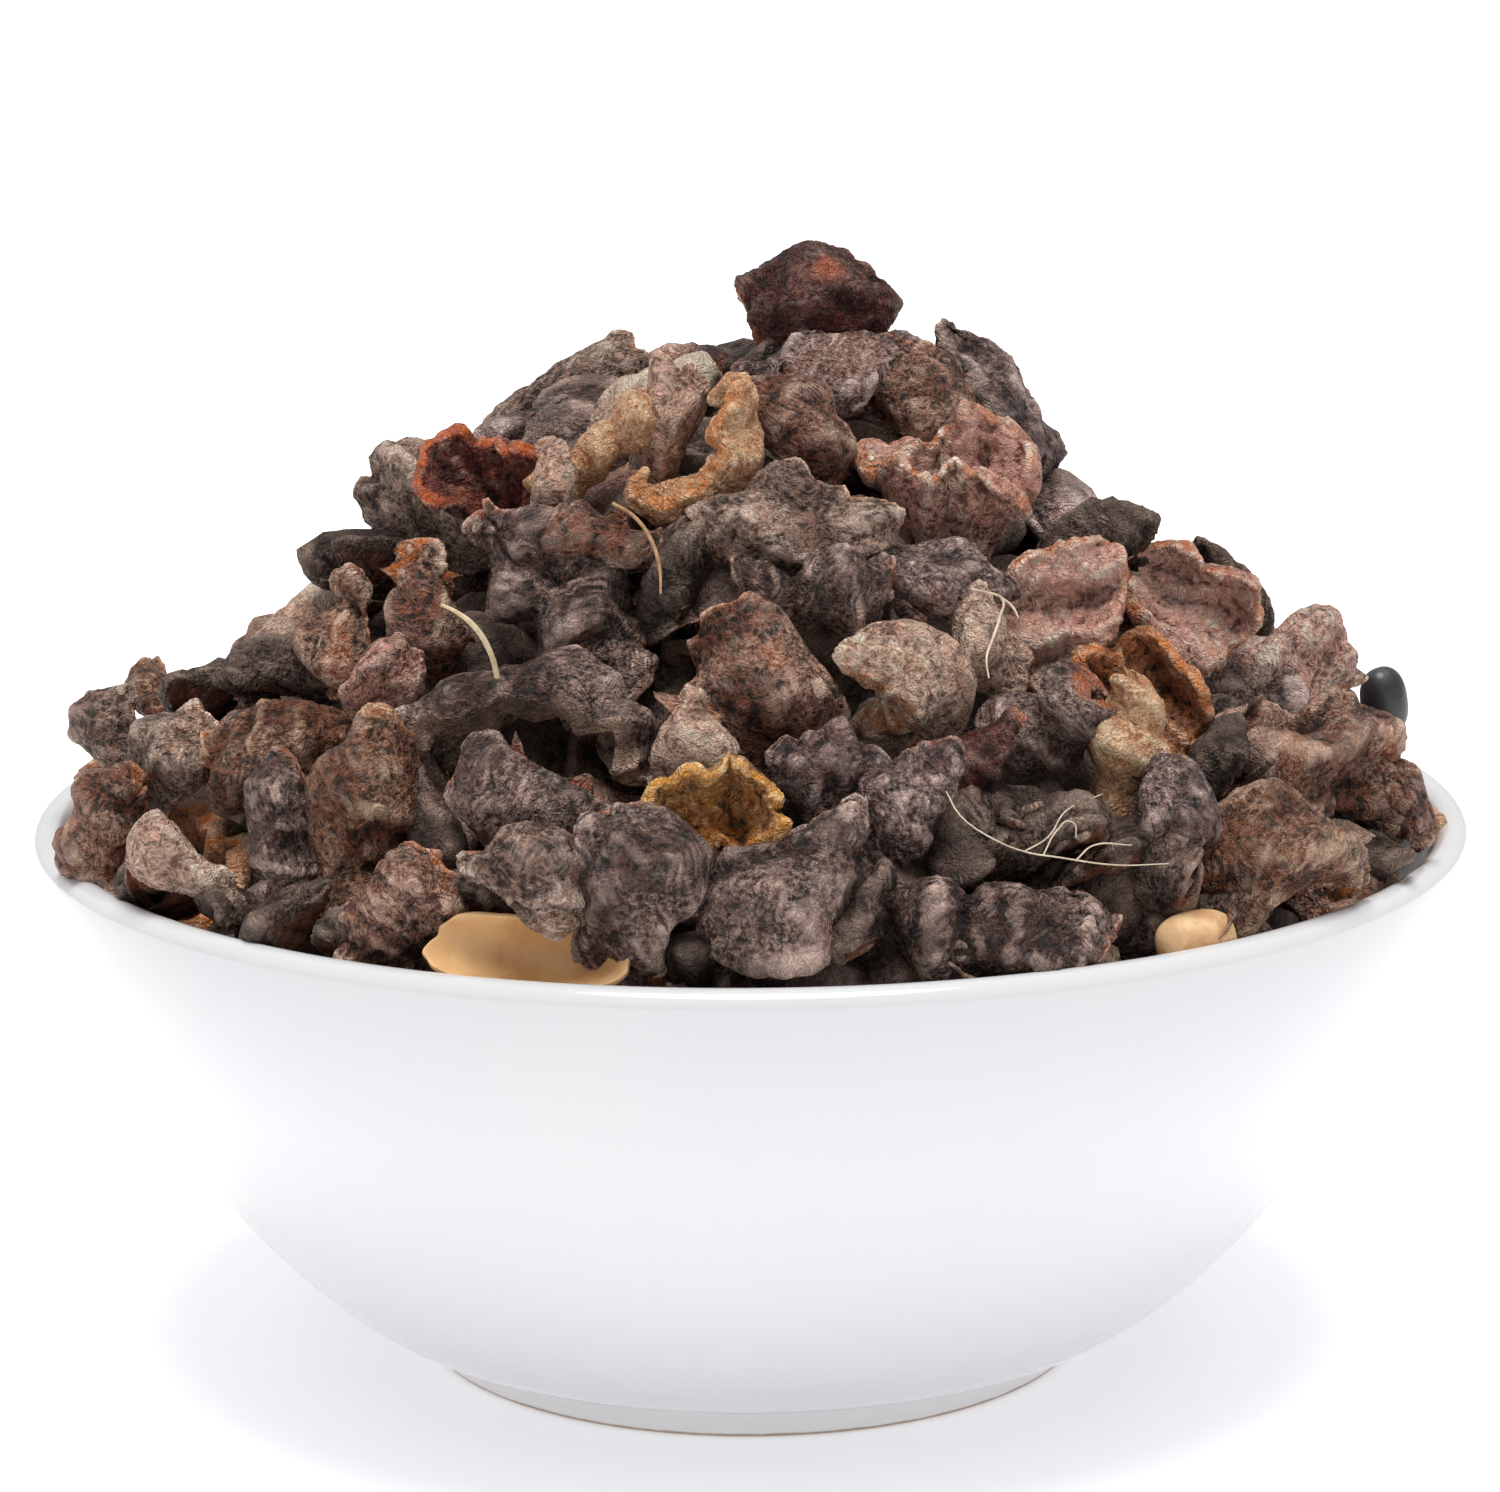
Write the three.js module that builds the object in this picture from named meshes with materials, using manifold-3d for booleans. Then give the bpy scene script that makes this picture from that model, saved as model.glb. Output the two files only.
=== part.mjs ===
// A white glazed bowl heaped with torn, dried pieces of Indian gooseberry.
// Millimetres, +Z up, the bowl's foot on Z = 0, the front of the heap towards -Y.
import * as THREE from "three";
import { mergeVertices } from "three/addons/utils/BufferGeometryUtils.js";
import Module from "manifold-3d";

const wasm = await Module();
wasm.setup();

// Driving dimensions of the bowl
const LIP_RADIUS = 60;
const BOWL_HEIGHT = 46;
const WALL = 2.9;
const LIP_STEPS = 5;
const FOOT_RADIUS = 27.9;
const FOOT_HEIGHT = 2.3;
const FOOT_RING_WIDTH = 2.9;
const FOOT_RECESS = 1.5;
const FLOOR_THICKNESS = 3.6;
const SIDE_PULL_HIGH = [58.9, 31.2];
const SIDE_PULL_LOW = [40.2, -0.6];
const BODY_START_RADIUS = 28.7;
const FOOT_EDGE = 0.35;
const FLOOR_EASE = [3.5, 0.2];
const TANGENT_STEP = 0.01;
const BOWL_SEGMENTS = 46;
const BODY_STEPS = 6;

// Driving dimensions of the heap
const HEAP_RADIUS = 57.5;
const SKIRT_RISE = 6;
const SKIRT_RADIUS = 60;
const CONE_RISE = 32;
const CONE_RADIUS = 34;
const CONE_POWER = 3.6;
const FRONT_LOOK = new THREE.Vector3(0, -0.975, 0.22);
const SEARCH_STEPS = 40;
const MERGE_DISTANCE = 1e-4;
const CLEARANCE = 0.45;
const ROUGH_CLEARANCE = 1.5;
const CLOSE_UP = 1.1;
const PIECE_TOLERANCE = 0.12;
const BED_TOLERANCE = 0.25;
const LARGE_PIECE = 12.4;
const LARGE_GRID = [12, 7];
const MIDDLE_GRID = [9, 5];
const SMALL_GRID = [5, 4];
const HIDDEN_GRID = [5, 3];
const ROUGH_GRID = [7, 4];

// The pieces below and behind, by rule
const SLOPE_COUNT = 56;
const SLOPE_RADIUS = 47;
const SLOPE_LENGTHS = [13.5, 20];
const SLOPE_SINK = 0.5;
const FRONT_SINK = 6;
const MOST_COVERED = 0.03;
const FRONT_HALF = 0.2;
const SLOPE_PROBE = 0.5;
const GAP_DEPTH = 13.5;
const FIRST_GAP_SEED = 70;
const FIRST_SLOPE_SEED = 100;
const FIRST_RING_SEED = 300;
const RING_COUNT = 20;
const RING_RADIUS = 53.5;
const RING_RISE = 4;
const RING_LENGTHS = [14, 19];
const GOLDEN_TURN = 2.399963;
const CORE_DEPTH = 9;
const CORE_SEGMENTS = 9;
const CORE_RADIUS = 48;
const CORE_STEPS = 5;
const CORE_FLOOR = 7.1;
const CORE_FLOOR_LIFT = 4;
const CORE_FLOOR_RADIUS = 30;
const CORE_SHOULDER = 38;
const CORE_SHOULDER_RADIUS = 51.5;
const CORE_SHIFT_BACK = 3;

// Height of the heap's outer surface above the lip, at a distance from the middle
function heapRise(radius) {
  const cone = CONE_RISE / (1 + Math.pow(radius / CONE_RADIUS, CONE_POWER));
  return cone + SKIRT_RISE * (1 - Math.pow(radius / SKIRT_RADIUS, 6));
}

// Distance from the middle at which the heap's surface has a given rise
function heapRadius(rise) {
  let inner = 0;
  let outer = HEAP_RADIUS;
  for (let step = 0; step < SEARCH_STEPS; step += 1) {
    const middle = (inner + outer) / 2;
    if (heapRise(middle) > rise) inner = middle;
    else outer = middle;
  }
  return (inner + outer) / 2;
}

// A steady draw from 0 to 1 for a piece's seed and the draw's index
function draw(seed, index) {
  const wave = Math.sin(seed * 12.9898 + index * 78.233) * 43758.5453;
  return wave - Math.floor(wave);
}

function between(seed, index, low, high) {
  return low + (high - low) * draw(seed, index);
}

function phase(seed, index) {
  return 2 * Math.PI * draw(seed, index);
}

function radians(angle) {
  return (angle * Math.PI) / 180;
}

function degrees(angle) {
  return (angle * 180) / Math.PI;
}

// How a dried piece is formed. Thickness and folds are shares of its half width, curl and bend are
// the whole angle it is rolled through across its width and along its length. Positive angles
// turn the skin outwards, negative ones show the hollow flesh side.
const FORMS = {
  lump: { sheet: 0.5, edge: 0.7, curl: 90, bend: 40, ruffle: 0.12, wave: 0.08, crease: 0.3, twist: 14 },
  flake: { sheet: 0.24, edge: 0.7, curl: 70, bend: 50, ruffle: 0.15, wave: 0.1, crease: 0.22, twist: 20 },
  log: { sheet: 0.36, edge: 0.7, curl: 210, bend: 20, ruffle: 0.1, wave: 0.07, crease: 0.16, twist: 22 },
  arch: { sheet: 0.38, edge: 0.7, curl: 60, bend: 155, ruffle: 0.1, wave: 0.06, crease: 0.16, twist: 10 },
  cup: { sheet: 0.24, edge: 0.7, curl: -150, bend: -85, ruffle: 0.11, wave: 0.06, crease: 0.12, twist: 8 },
  valve: { sheet: 0.16, edge: 0.7, curl: -120, bend: -50, ruffle: 0.02, wave: 0, crease: 0, twist: 0 },
  stone: { sheet: 1, edge: 1, curl: 0, bend: 0, ruffle: 0, wave: 0, crease: 0, twist: 0 },
};
const SMOOTH_FORMS = ["valve", "stone"];
const FOLDS_ALONG = 1.8;
const FOLDS_ACROSS = 1.3;
const FOLD_SLANT = 0.8;
const SWELL_SHARE = 1.6;
const SWELL_WAVES = [2.6, 1.9];
const OUTLINE_POWER = 2.5;
const OUTLINE_LOBES = [
  [2, 0.5],
  [3, 0.6],
  [5, 0.3],
];
const KNOB_SHARE = 0.03;
const KNOB_WAVES = [0.9, 0.9, 0.8];
const CREASE_OFFSETS = [0.4, 0.5];
const CREASE_CROSSING = [0.9, 2.2];
const SECOND_CREASE = 0.7;

// Rolls a point of a sheet of the given half width through a whole angle
function roll(along, height, halfWidth, wholeAngle) {
  if (wholeAngle === 0) return [along, height];
  const radius = (2 * halfWidth) / radians(wholeAngle);
  const angle = along / radius;
  return [(radius + height) * Math.sin(angle), (radius + height) * Math.cos(angle) - radius];
}

// Two sharp creases that cross a sheet at drawn angles
function creases(along, across, depth, seed) {
  const first = Math.PI * draw(seed, 18);
  const second = first + between(seed, 19, ...CREASE_CROSSING);
  const [nearBy, farBy] = CREASE_OFFSETS.map((offset, i) => between(seed, 20 + i, -offset, offset));
  const near = Math.abs(along * Math.cos(first) + across * Math.sin(first) - nearBy);
  const far = Math.abs(along * Math.cos(second) + across * Math.sin(second) - farBy);
  return depth * (near + SECOND_CREASE * far);
}

// How far the torn outline reaches at an angle around the sheet
function outlineReach(around, ruffle, seed) {
  const corner =
    Math.pow(Math.abs(Math.cos(around)), OUTLINE_POWER) +
    Math.pow(Math.abs(Math.sin(around)), OUTLINE_POWER);
  const frill = OUTLINE_LOBES.reduce(
    (sum, [lobes, share], i) => sum + share * Math.cos(lobes * around + phase(seed, 1 + i)),
    0,
  );
  return Math.pow(corner, -1 / OUTLINE_POWER) * (1 + ruffle * frill);
}

// One point of a dried piece, from a direction out of its middle
function piecePoint(direction, form, halfLength, halfWidth, seed) {
  const reach = outlineReach(Math.atan2(direction.y, direction.x), form.ruffle, seed);
  const along = direction.x * reach;
  const across = direction.y * reach;
  const swelling = Math.sin(SWELL_WAVES[0] * along + SWELL_WAVES[1] * across + phase(seed, 4));
  const swell = 1 + SWELL_SHARE * form.wave * swelling;
  const half = Math.sign(direction.z) * Math.pow(Math.abs(direction.z), form.edge) * form.sheet * swell;
  const folds = Math.PI * (form.folds ?? FOLDS_ALONG);
  const ribs = Math.PI * (form.ribs ?? FOLDS_ACROSS);
  const fold = form.wave * Math.cos(folds * along + FOLD_SLANT * across + phase(seed, 5));
  const rib = form.wave * Math.cos(ribs * across + phase(seed, 6));
  let x = along * halfLength;
  let y = across * halfWidth;
  let z = (half + fold + rib - creases(along, across, form.crease, seed)) * halfWidth;
  [y, z] = roll(y, z, halfWidth, form.curl);
  [x, z] = roll(x, z, halfLength, form.bend);
  const twist = radians(form.twist) * along * (draw(seed, 7) < 0.5 ? -1 : 1);
  const turnedY = y * Math.cos(twist) - z * Math.sin(twist);
  const turnedZ = y * Math.sin(twist) + z * Math.cos(twist);
  const knob = form.wave > 0 ? KNOB_SHARE * halfWidth : 0;
  return new THREE.Vector3(
    x + knob * Math.sin(KNOB_WAVES[0] * turnedY + phase(seed, 8)),
    turnedY + knob * Math.sin(KNOB_WAVES[1] * turnedZ + phase(seed, 9)),
    turnedZ + knob * Math.sin(KNOB_WAVES[2] * x + phase(seed, 10)),
  );
}

// The turned frame of a piece: its long, wide and outward directions
function pieceAxes(face, turn) {
  const [azimuth, elevation] = face.map(radians);
  const out = new THREE.Vector3(
    Math.sin(azimuth) * Math.cos(elevation),
    -Math.cos(azimuth) * Math.cos(elevation),
    Math.sin(elevation),
  );
  const level = new THREE.Vector3(Math.cos(azimuth), Math.sin(azimuth), 0);
  const rise = new THREE.Vector3().crossVectors(out, level);
  const long = level.multiplyScalar(Math.cos(radians(turn))).addScaledVector(rise, Math.sin(radians(turn)));
  const wide = new THREE.Vector3().crossVectors(out, long);
  return [long, wide, out];
}

// A closed ball of points moved onto a dried piece, sized, turned and set against the heap's surface
function pieceGeometry(piece, grid) {
  const [around, rings] = grid;
  const form = { ...FORMS[piece.form], ...piece.shape };
  const [length, width, depth] = piece.size.map((side) => side * (piece.closeUp ?? 1));
  const ball = new THREE.SphereGeometry(1, around, rings).rotateZ(-Math.PI / 2);
  ball.deleteAttribute("normal");
  ball.deleteAttribute("uv");
  const geometry = mergeVertices(ball, MERGE_DISTANCE);
  const place = geometry.getAttribute("position");
  const box = new THREE.Box3();
  const points = [];
  for (let i = 0; i < place.count; i += 1) {
    const direction = new THREE.Vector3().fromBufferAttribute(place, i).normalize();
    const point = piecePoint(direction, form, length / 2, width / 2, piece.seed);
    points.push(point);
    box.expandByPoint(point);
  }
  const middle = box.getCenter(new THREE.Vector3());
  const span = box.getSize(new THREE.Vector3());
  const [long, wide, out] = pieceAxes(piece.face, piece.turn);
  const turned = points.map((point) =>
    new THREE.Vector3()
      .addScaledVector(long, ((point.x - middle.x) * length) / span.x)
      .addScaledVector(wide, ((point.y - middle.y) * width) / span.y)
      .addScaledVector(out, ((point.z - middle.z) * depth) / span.z),
  );
  const nearest = Math.max(...turned.map((point) => point.dot(piece.toward)));
  const shift = piece.spot.clone().addScaledVector(piece.toward, (piece.out ?? 0) - nearest);
  turned.forEach((point, i) => place.setXYZ(i, point.x + shift.x, point.y + shift.y, point.z + shift.z));
  return geometry;
}

// The same piece grown along its normals, to cut what lies against it
function grown(geometry, distance) {
  const larger = geometry.clone();
  larger.computeVertexNormals();
  const place = larger.getAttribute("position");
  const normal = larger.getAttribute("normal");
  for (let i = 0; i < place.count; i += 1) {
    place.setXYZ(
      i,
      place.getX(i) + normal.getX(i) * distance,
      place.getY(i) + normal.getY(i) * distance,
      place.getZ(i) + normal.getZ(i) * distance,
    );
  }
  larger.deleteAttribute("normal");
  return larger;
}

function solidFrom(geometry) {
  const bare = new THREE.BufferGeometry();
  bare.setAttribute("position", geometry.getAttribute("position").clone());
  bare.setIndex(geometry.getIndex());
  const merged = mergeVertices(bare, MERGE_DISTANCE);
  return new wasm.Manifold(
    new wasm.Mesh({
      numProp: 3,
      vertProperties: new Float32Array(merged.getAttribute("position").array),
      triVerts: new Uint32Array(merged.getIndex().array),
    }),
  );
}

// The largest closed body left after a cut
function largestBody(solid) {
  const bodies = solid.decompose();
  return bodies.reduce((best, body) => (body.volume() > best.volume() ? body : best));
}

function boxesMeet(a, b) {
  const first = a.boundingBox();
  const second = b.boundingBox();
  return [0, 1, 2].every((k) => first.min[k] < second.max[k] && second.min[k] < first.max[k]);
}

function meshFrom(solid, name, material) {
  const { vertProperties, triVerts } = solid.getMesh();
  const geometry = new THREE.BufferGeometry();
  geometry.setAttribute("position", new THREE.BufferAttribute(new Float32Array(vertProperties), 3));
  geometry.setIndex(new THREE.BufferAttribute(new Uint32Array(triVerts), 1));
  geometry.computeVertexNormals();
  const mesh = new THREE.Mesh(geometry, material);
  mesh.name = name;
  return mesh;
}

const GLAZE_COLOUR = 0xf4f4f4;
const GLAZE_ROUGHNESS = 0.15;
const BED_COLOUR = 0x4a3f3b;
const SKIN_ROUGHNESS = 0.85;
const SHELL_ROUGHNESS = 0.45;

// Colours of the dried skin and flesh
const TONES = {
  slate: 0x3d3735,
  dusk: 0x55484a,
  umber: 0x52403a,
  olive: 0x6b6357,
  pale: 0x8f8377,
  pink: 0x8a6c60,
  tan: 0xa98a68,
  amber: 0x8d5530,
  red: 0x5a2c22,
  gold: 0x9a6a38,
};

// The crest and upper shoulders. at is the distance right of the middle and the rise above the lip,
// face is the way its outer side looks (to the right, then up), turn tips its long side up.
const CREST = [
  { name: "crest_amber", at: [5.5, 42.5], back: -4, face: [0, 20], turn: -15,
    size: [12.5, 9.5, 7], form: "lump", tone: "red" },
  { name: "crest_slab", at: [7.5, 38], back: -8, face: [10, 35], turn: 14,
    size: [14.5, 8, 6], form: "lump", tone: "dusk" },
  { name: "right_horn", at: [21, 34.5], back: -4, face: [35, 10], turn: 104,
    size: [15, 8.5, 6], form: "log", tone: "dusk" },
  { name: "amber_shelf", at: [14, 36], back: -9, face: [-5, 10], turn: -12,
    size: [12, 8, 7], form: "flake", tone: "umber" },
  { name: "pink_cup", at: [15.5, 30], face: [0, 72], turn: -5,
    size: [14, 10, 11], form: "cup", tone: "pink" },
  { name: "brown_arch", at: [4.5, 35], face: [50, 30], turn: -50,
    size: [12, 8, 6], form: "arch", tone: "umber" },
  { name: "tan_hook", at: [-3, 33], face: [90, -40], turn: 90,
    size: [12.5, 6, 7], form: "arch", tone: "tan" },
  { name: "tan_log", at: [-11.5, 33.3], face: [0, 20], turn: 32,
    size: [12.5, 5.2, 5], form: "log", tone: "tan" },
  { name: "spike_fold", at: [-6, 35.5], face: [20, 0], turn: 100,
    size: [9.5, 6, 4.5], form: "flake", tone: "pale" },
  { name: "grey_knuckle", at: [-15, 30.2], face: [0, 0], turn: 80,
    size: [7.5, 5, 4.5], form: "lump", tone: "pale" },
  { name: "red_hollow", at: [-21, 29.5], face: [-10, 35], turn: -10,
    size: [11, 8, 6], form: "cup", tone: "red" },
  { name: "back_ridge", at: [-15.5, 33], face: [-20, 25], turn: 22,
    size: [15, 9, 6], form: "flake", tone: "olive", back: 6 },
];

const LEFT_SIDE = [
  { name: "left_crown", at: [-26.5, 26.5], face: [-25, 10], turn: -50,
    size: [13, 10, 6], form: "flake", tone: "olive", shape: { ruffle: 0.26 } },
  { name: "left_brow", at: [-26, 21], face: [-20, 0], turn: 80,
    size: [10.5, 8.5, 6], form: "lump", tone: "umber" },
  { name: "left_fold", at: [-32.5, 18.5], face: [-35, 10], turn: 60,
    size: [9, 7, 5], form: "flake", tone: "umber" },
  { name: "left_spire", at: [-53, 8], face: [-40, 20], turn: 130,
    size: [10.5, 7, 4.5], form: "flake", tone: "olive" },
  { name: "left_wedge", at: [-46, 9.5], face: [-30, 20], turn: 60,
    size: [8.5, 7, 5], form: "flake", tone: "olive" },
  { name: "left_lip_lump", at: [-51, 3.5], face: [-50, 10], turn: 60,
    size: [10.5, 8.5, 7], form: "lump", tone: "umber" },
  { name: "far_left_amber", at: [-52.5, 7.5], face: [-60, 30], turn: 5,
    size: [7.5, 5, 4], form: "flake", tone: "amber", back: 14 },
  { name: "amber_slab", at: [-37.5, 12], face: [-15, 25], turn: 36,
    size: [13, 7.5, 6], form: "log", tone: "amber", shape: { curl: 150 } },
  { name: "small_fold", at: [-28.5, 16.5], face: [0, 10], turn: 30,
    size: [7, 5.8, 4.5], form: "flake", tone: "pink" },
  { name: "amber_log", at: [-30, 9], face: [-10, 20], turn: 62,
    size: [15.5, 8.5, 7], form: "log", tone: "amber" },
  { name: "grey_crescent", at: [-36, 7], face: [-30, 0], turn: 80,
    size: [12.5, 7, 5.5], form: "log", tone: "slate", shape: { curl: 140, bend: 60 } },
  { name: "pale_cap", at: [-43.5, 4], face: [-20, 35], turn: 0,
    size: [9.5, 7, 6], form: "lump", tone: "pale" },
  { name: "front_ribbed", at: [-26, 3.5], face: [-10, 10], turn: 75,
    size: [10, 8, 6.5], form: "log", tone: "umber", shape: { curl: 150 } },
];

const MIDDLE = [
  { name: "big_arch", at: [-18, 15.5], face: [0, 118], turn: -6,
    size: [20, 8, 10.5], form: "arch", tone: "slate" },
  { name: "fluted_grey", at: [-16, 11], face: [0, 15], turn: -10,
    size: [12.5, 9.5, 7], form: "lump", tone: "slate" },
  { name: "grey_star", at: [-15, 7], out: 1.5, face: [0, 10], turn: 15,
    size: [11, 8, 6], form: "flake", tone: "olive", shape: { ruffle: 0.3 } },
  { name: "dark_wrinkled", at: [-9, 6.5], face: [0, 10], turn: 70,
    size: [12, 9.5, 7], form: "lump", tone: "slate" },
  { name: "spiral_lobes", at: [-15, 23], face: [-5, 20], turn: -35,
    size: [18, 10.5, 8.5], form: "log", tone: "slate", shape: { folds: 3, wave: 0.13 } },
  { name: "fibre_lump", at: [-11, 27.5], face: [0, 15], turn: -25,
    size: [8.5, 6, 5], form: "lump", tone: "umber" },
  { name: "flake_top", at: [3, 28.5], face: [-10, 25], turn: -25,
    size: [14, 9.5, 5.5], form: "flake", tone: "olive" },
  { name: "flake_belt", at: [5.5, 24], face: [5, 20], turn: 13,
    size: [11.5, 8, 6], form: "log", tone: "slate" },
  { name: "flake_low", at: [1.5, 17], face: [0, 5], turn: 75,
    size: [14.5, 13, 6], form: "flake", tone: "umber" },
  { name: "tan_column", at: [-4.5, 14.5], face: [0, 5], turn: 80,
    size: [8.5, 6.5, 5.5], form: "lump", tone: "pale" },
  { name: "amber_gold", at: [-2.5, 11], face: [0, 15], turn: -5,
    size: [10, 7.5, 5.5], form: "cup", tone: "gold" },
  { name: "ring_whorl", at: [12, 17.5], face: [85, 15], turn: 90,
    size: [10, 6, 9.5], form: "arch", tone: "pale", shape: { bend: 250 } },
  { name: "slab_diagonal", at: [14, 25], face: [0, 25], turn: -38,
    size: [12.5, 7, 5], form: "flake", tone: "dusk" },
  { name: "pale_fan", at: [24.5, 21], face: [5, 20], turn: 60,
    size: [13, 9.5, 5], form: "cup", tone: "pink", shape: { curl: -80, bend: -40 } },
  { name: "fan_hinge", at: [18.5, 20], face: [0, 20], turn: -50,
    size: [10, 5.5, 4.5], form: "flake", tone: "pale" },
  { name: "grey_log", at: [22.5, 14.5], face: [-30, 10], turn: 50,
    size: [10, 8.5, 7.5], form: "log", tone: "slate" },
  { name: "red_log", at: [16.5, 13.5], face: [0, 15], turn: 60,
    size: [9, 5.5, 5], form: "log", tone: "red" },
  { name: "grey_tooth", at: [11.5, 11], face: [10, 5], turn: 75,
    size: [10.5, 6.5, 5.5], form: "flake", tone: "dusk" },
  { name: "pink_crust", at: [6, 13], face: [0, 20], turn: -15,
    size: [9, 7.5, 6], form: "lump", tone: "dusk" },
  { name: "front_block", at: [3, 6.5], face: [5, 20], turn: 20,
    size: [14, 11.5, 9], form: "lump", tone: "slate" },
  { name: "long_low", at: [18, 3], face: [0, 15], turn: 6,
    size: [17.5, 8, 7], form: "log", tone: "slate", shape: { curl: 160, folds: 2.6, wave: 0.12 } },
];

const RIGHT_SIDE = [
  { name: "right_round", at: [34.5, 19], face: [20, 20], turn: -40,
    size: [12, 10.5, 6], form: "cup", tone: "pink", shape: { curl: -120, bend: -70 } },
  { name: "right_curl", at: [30.5, 15.5], face: [10, 15], turn: -30,
    size: [11.5, 9, 5.5], form: "cup", tone: "amber", shape: { curl: -110 } },
  { name: "tan_bone", at: [29, 11.5], face: [0, 10], turn: 68,
    size: [13.5, 7, 6.5], form: "log", tone: "tan" },
  { name: "right_wing", at: [45, 13], face: [25, 20], turn: 25,
    size: [12, 8, 5.5], form: "flake", tone: "pink" },
  { name: "ribbed_half", at: [43.5, 9], face: [20, 25], turn: 8,
    size: [17, 11, 9], form: "lump", tone: "umber", shape: { ribs: 3.2, wave: 0.16, curl: 90 } },
  { name: "right_lip_bit", at: [52, 5.5], face: [40, 10], turn: 100,
    size: [8, 5, 5], form: "lump", tone: "umber" },
  { name: "right_round_low", at: [40, 5], face: [10, 15], turn: 10,
    size: [14, 11, 7.5], form: "lump", tone: "amber" },
  { name: "right_cluster", at: [32, 7.5], face: [10, 10], turn: 60,
    size: [10.5, 8.5, 7], form: "lump", tone: "dusk", out: -1.5 },
];

// The smooth stones that lie among the torn pieces
const STONES = [
  { name: "seed_shell", at: [-16.5, 1.8], face: [0, 28], turn: -3,
    size: [16.5, 6.5, 5], form: "valve", tone: "tan", out: 0.4 },
  { name: "tan_seed", at: [33.5, 0.2], face: [20, 20], turn: 5,
    size: [6.5, 4.5, 4], form: "stone", tone: "tan", out: 0.3 },
  { name: "black_bead", at: [53.5, 8.2], face: [30, 0], turn: 100,
    size: [6, 4, 4], form: "stone", tone: "slate", back: 1 },
];

// Small pieces seen in the gaps and along the lip, fused into the bed
const GAP_PIECES = [
  { at: [2.5, 39], back: -9, face: [0, 20], turn: 10, size: [7, 5, 4], form: "lump" },
  { at: [-2.5, 35.5], face: [0, 30], turn: 5, size: [8, 5, 4], form: "lump", back: 6 },
  { at: [-30, 23], face: [-60, 10], turn: 40, size: [7, 5.5, 4.5], form: "lump" },
  { at: [-36.5, 15.5], face: [-30, 10], turn: 0, size: [8.5, 6, 5], form: "lump" },
  { at: [-46, 12], face: [-20, 20], turn: 10, size: [6.5, 5, 4], form: "lump" },
  { at: [-39, 0.5], face: [-20, 20], turn: 0, size: [6, 5, 4], form: "lump" },
  { at: [-33.5, 1.5], face: [-20, 20], turn: 60, size: [8, 6, 5], form: "lump" },
  { at: [-24.5, 9.5], face: [30, 0], turn: 100, size: [7.5, 5, 3.5], form: "lump" },
  { at: [-20.5, 4], face: [0, 20], turn: -10, size: [9, 5, 4.5], form: "lump" },
  { at: [-4.5, 24.5], face: [0, 20], turn: 60, size: [9, 7.5, 6], form: "lump" },
  { at: [-1.5, 4], face: [0, 20], turn: 80, size: [9, 5.5, 5], form: "lump" },
  { at: [8, 4.5], face: [10, 20], turn: 60, size: [8, 6, 5], form: "lump" },
  { at: [20, 10], face: [0, 20], turn: 0, size: [5.5, 4.5, 3.5], form: "flake" },
  { at: [22, 8], face: [0, 20], turn: 20, size: [9, 6.5, 5], form: "lump" },
  { at: [27, 6.5], face: [0, 20], turn: 20, size: [9, 7, 5], form: "lump" },
  { at: [27, 24.5], face: [30, 20], turn: 20, size: [8, 6, 5], form: "lump" },
  { at: [40, 17], face: [30, 10], turn: 112, size: [9, 4, 3], form: "flake", back: 3 },
  { at: [36.5, 10.5], face: [10, 20], turn: 50, size: [7, 5, 4.5], form: "lump" },
  { at: [48.5, 2], face: [30, 20], turn: 70, size: [6.5, 4.5, 4], form: "lump" },
  { at: [37.5, 13], face: [10, 20], turn: 10, size: [6.5, 4.5, 3], form: "flake" },
  { at: [52, 2.5], back: 2, face: [40, 20], turn: 60, size: [11, 8, 8], form: "lump" },
  { at: [-51.5, 2.5], back: 14, face: [-40, 20], turn: 60, size: [11, 8, 8], form: "lump" },
  { at: [-45.5, 0.5], face: [-40, 20], turn: 40, size: [7, 5, 5], form: "lump" },
  { at: [-29, 0.8], face: [-20, 20], turn: 20, size: [6, 4.5, 5], form: "lump" },
  { at: [-4, 0.8], face: [0, 20], turn: 10, size: [9, 5, 5], form: "lump" },
  { at: [14.5, 1], face: [10, 20], turn: -20, size: [7, 5, 5], form: "lump" },
  { at: [32, 1], face: [20, 20], turn: 30, size: [8, 5.5, 5], form: "lump" },
  { at: [30.5, 6.5], face: [20, 20], turn: 100, size: [7.5, 5.5, 5], form: "flake" },
  { at: [16.5, 8.5], face: [10, 20], turn: 70, size: [7.5, 6, 5], form: "lump" },
];

// Sets a listed piece on the front of the heap's surface, or further back where it says so
function onFront(piece, seed) {
  const [across, rise] = piece.at;
  const radius = heapRadius(rise);
  const depth = Math.sqrt(Math.max(0, radius * radius - across * across));
  const y = piece.back === undefined ? -depth : piece.back;
  const spot = new THREE.Vector3(across, y, BOWL_HEIGHT + rise);
  const closeUp = SMOOTH_FORMS.includes(piece.form) ? 1 : CLOSE_UP;
  return { ...piece, seed, spot, closeUp, toward: FRONT_LOOK };
}

const DRAWN_FORMS = ["lump", "flake", "log", "lump", "cup", "arch"];
const WIDTH_SHARES = [0.6, 0.8];
const DEPTH_SHARES = [0.42, 0.58];
const LEAN_ASIDE = [-35, 35];
const LEAN_UP = [-30, 25];

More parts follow.
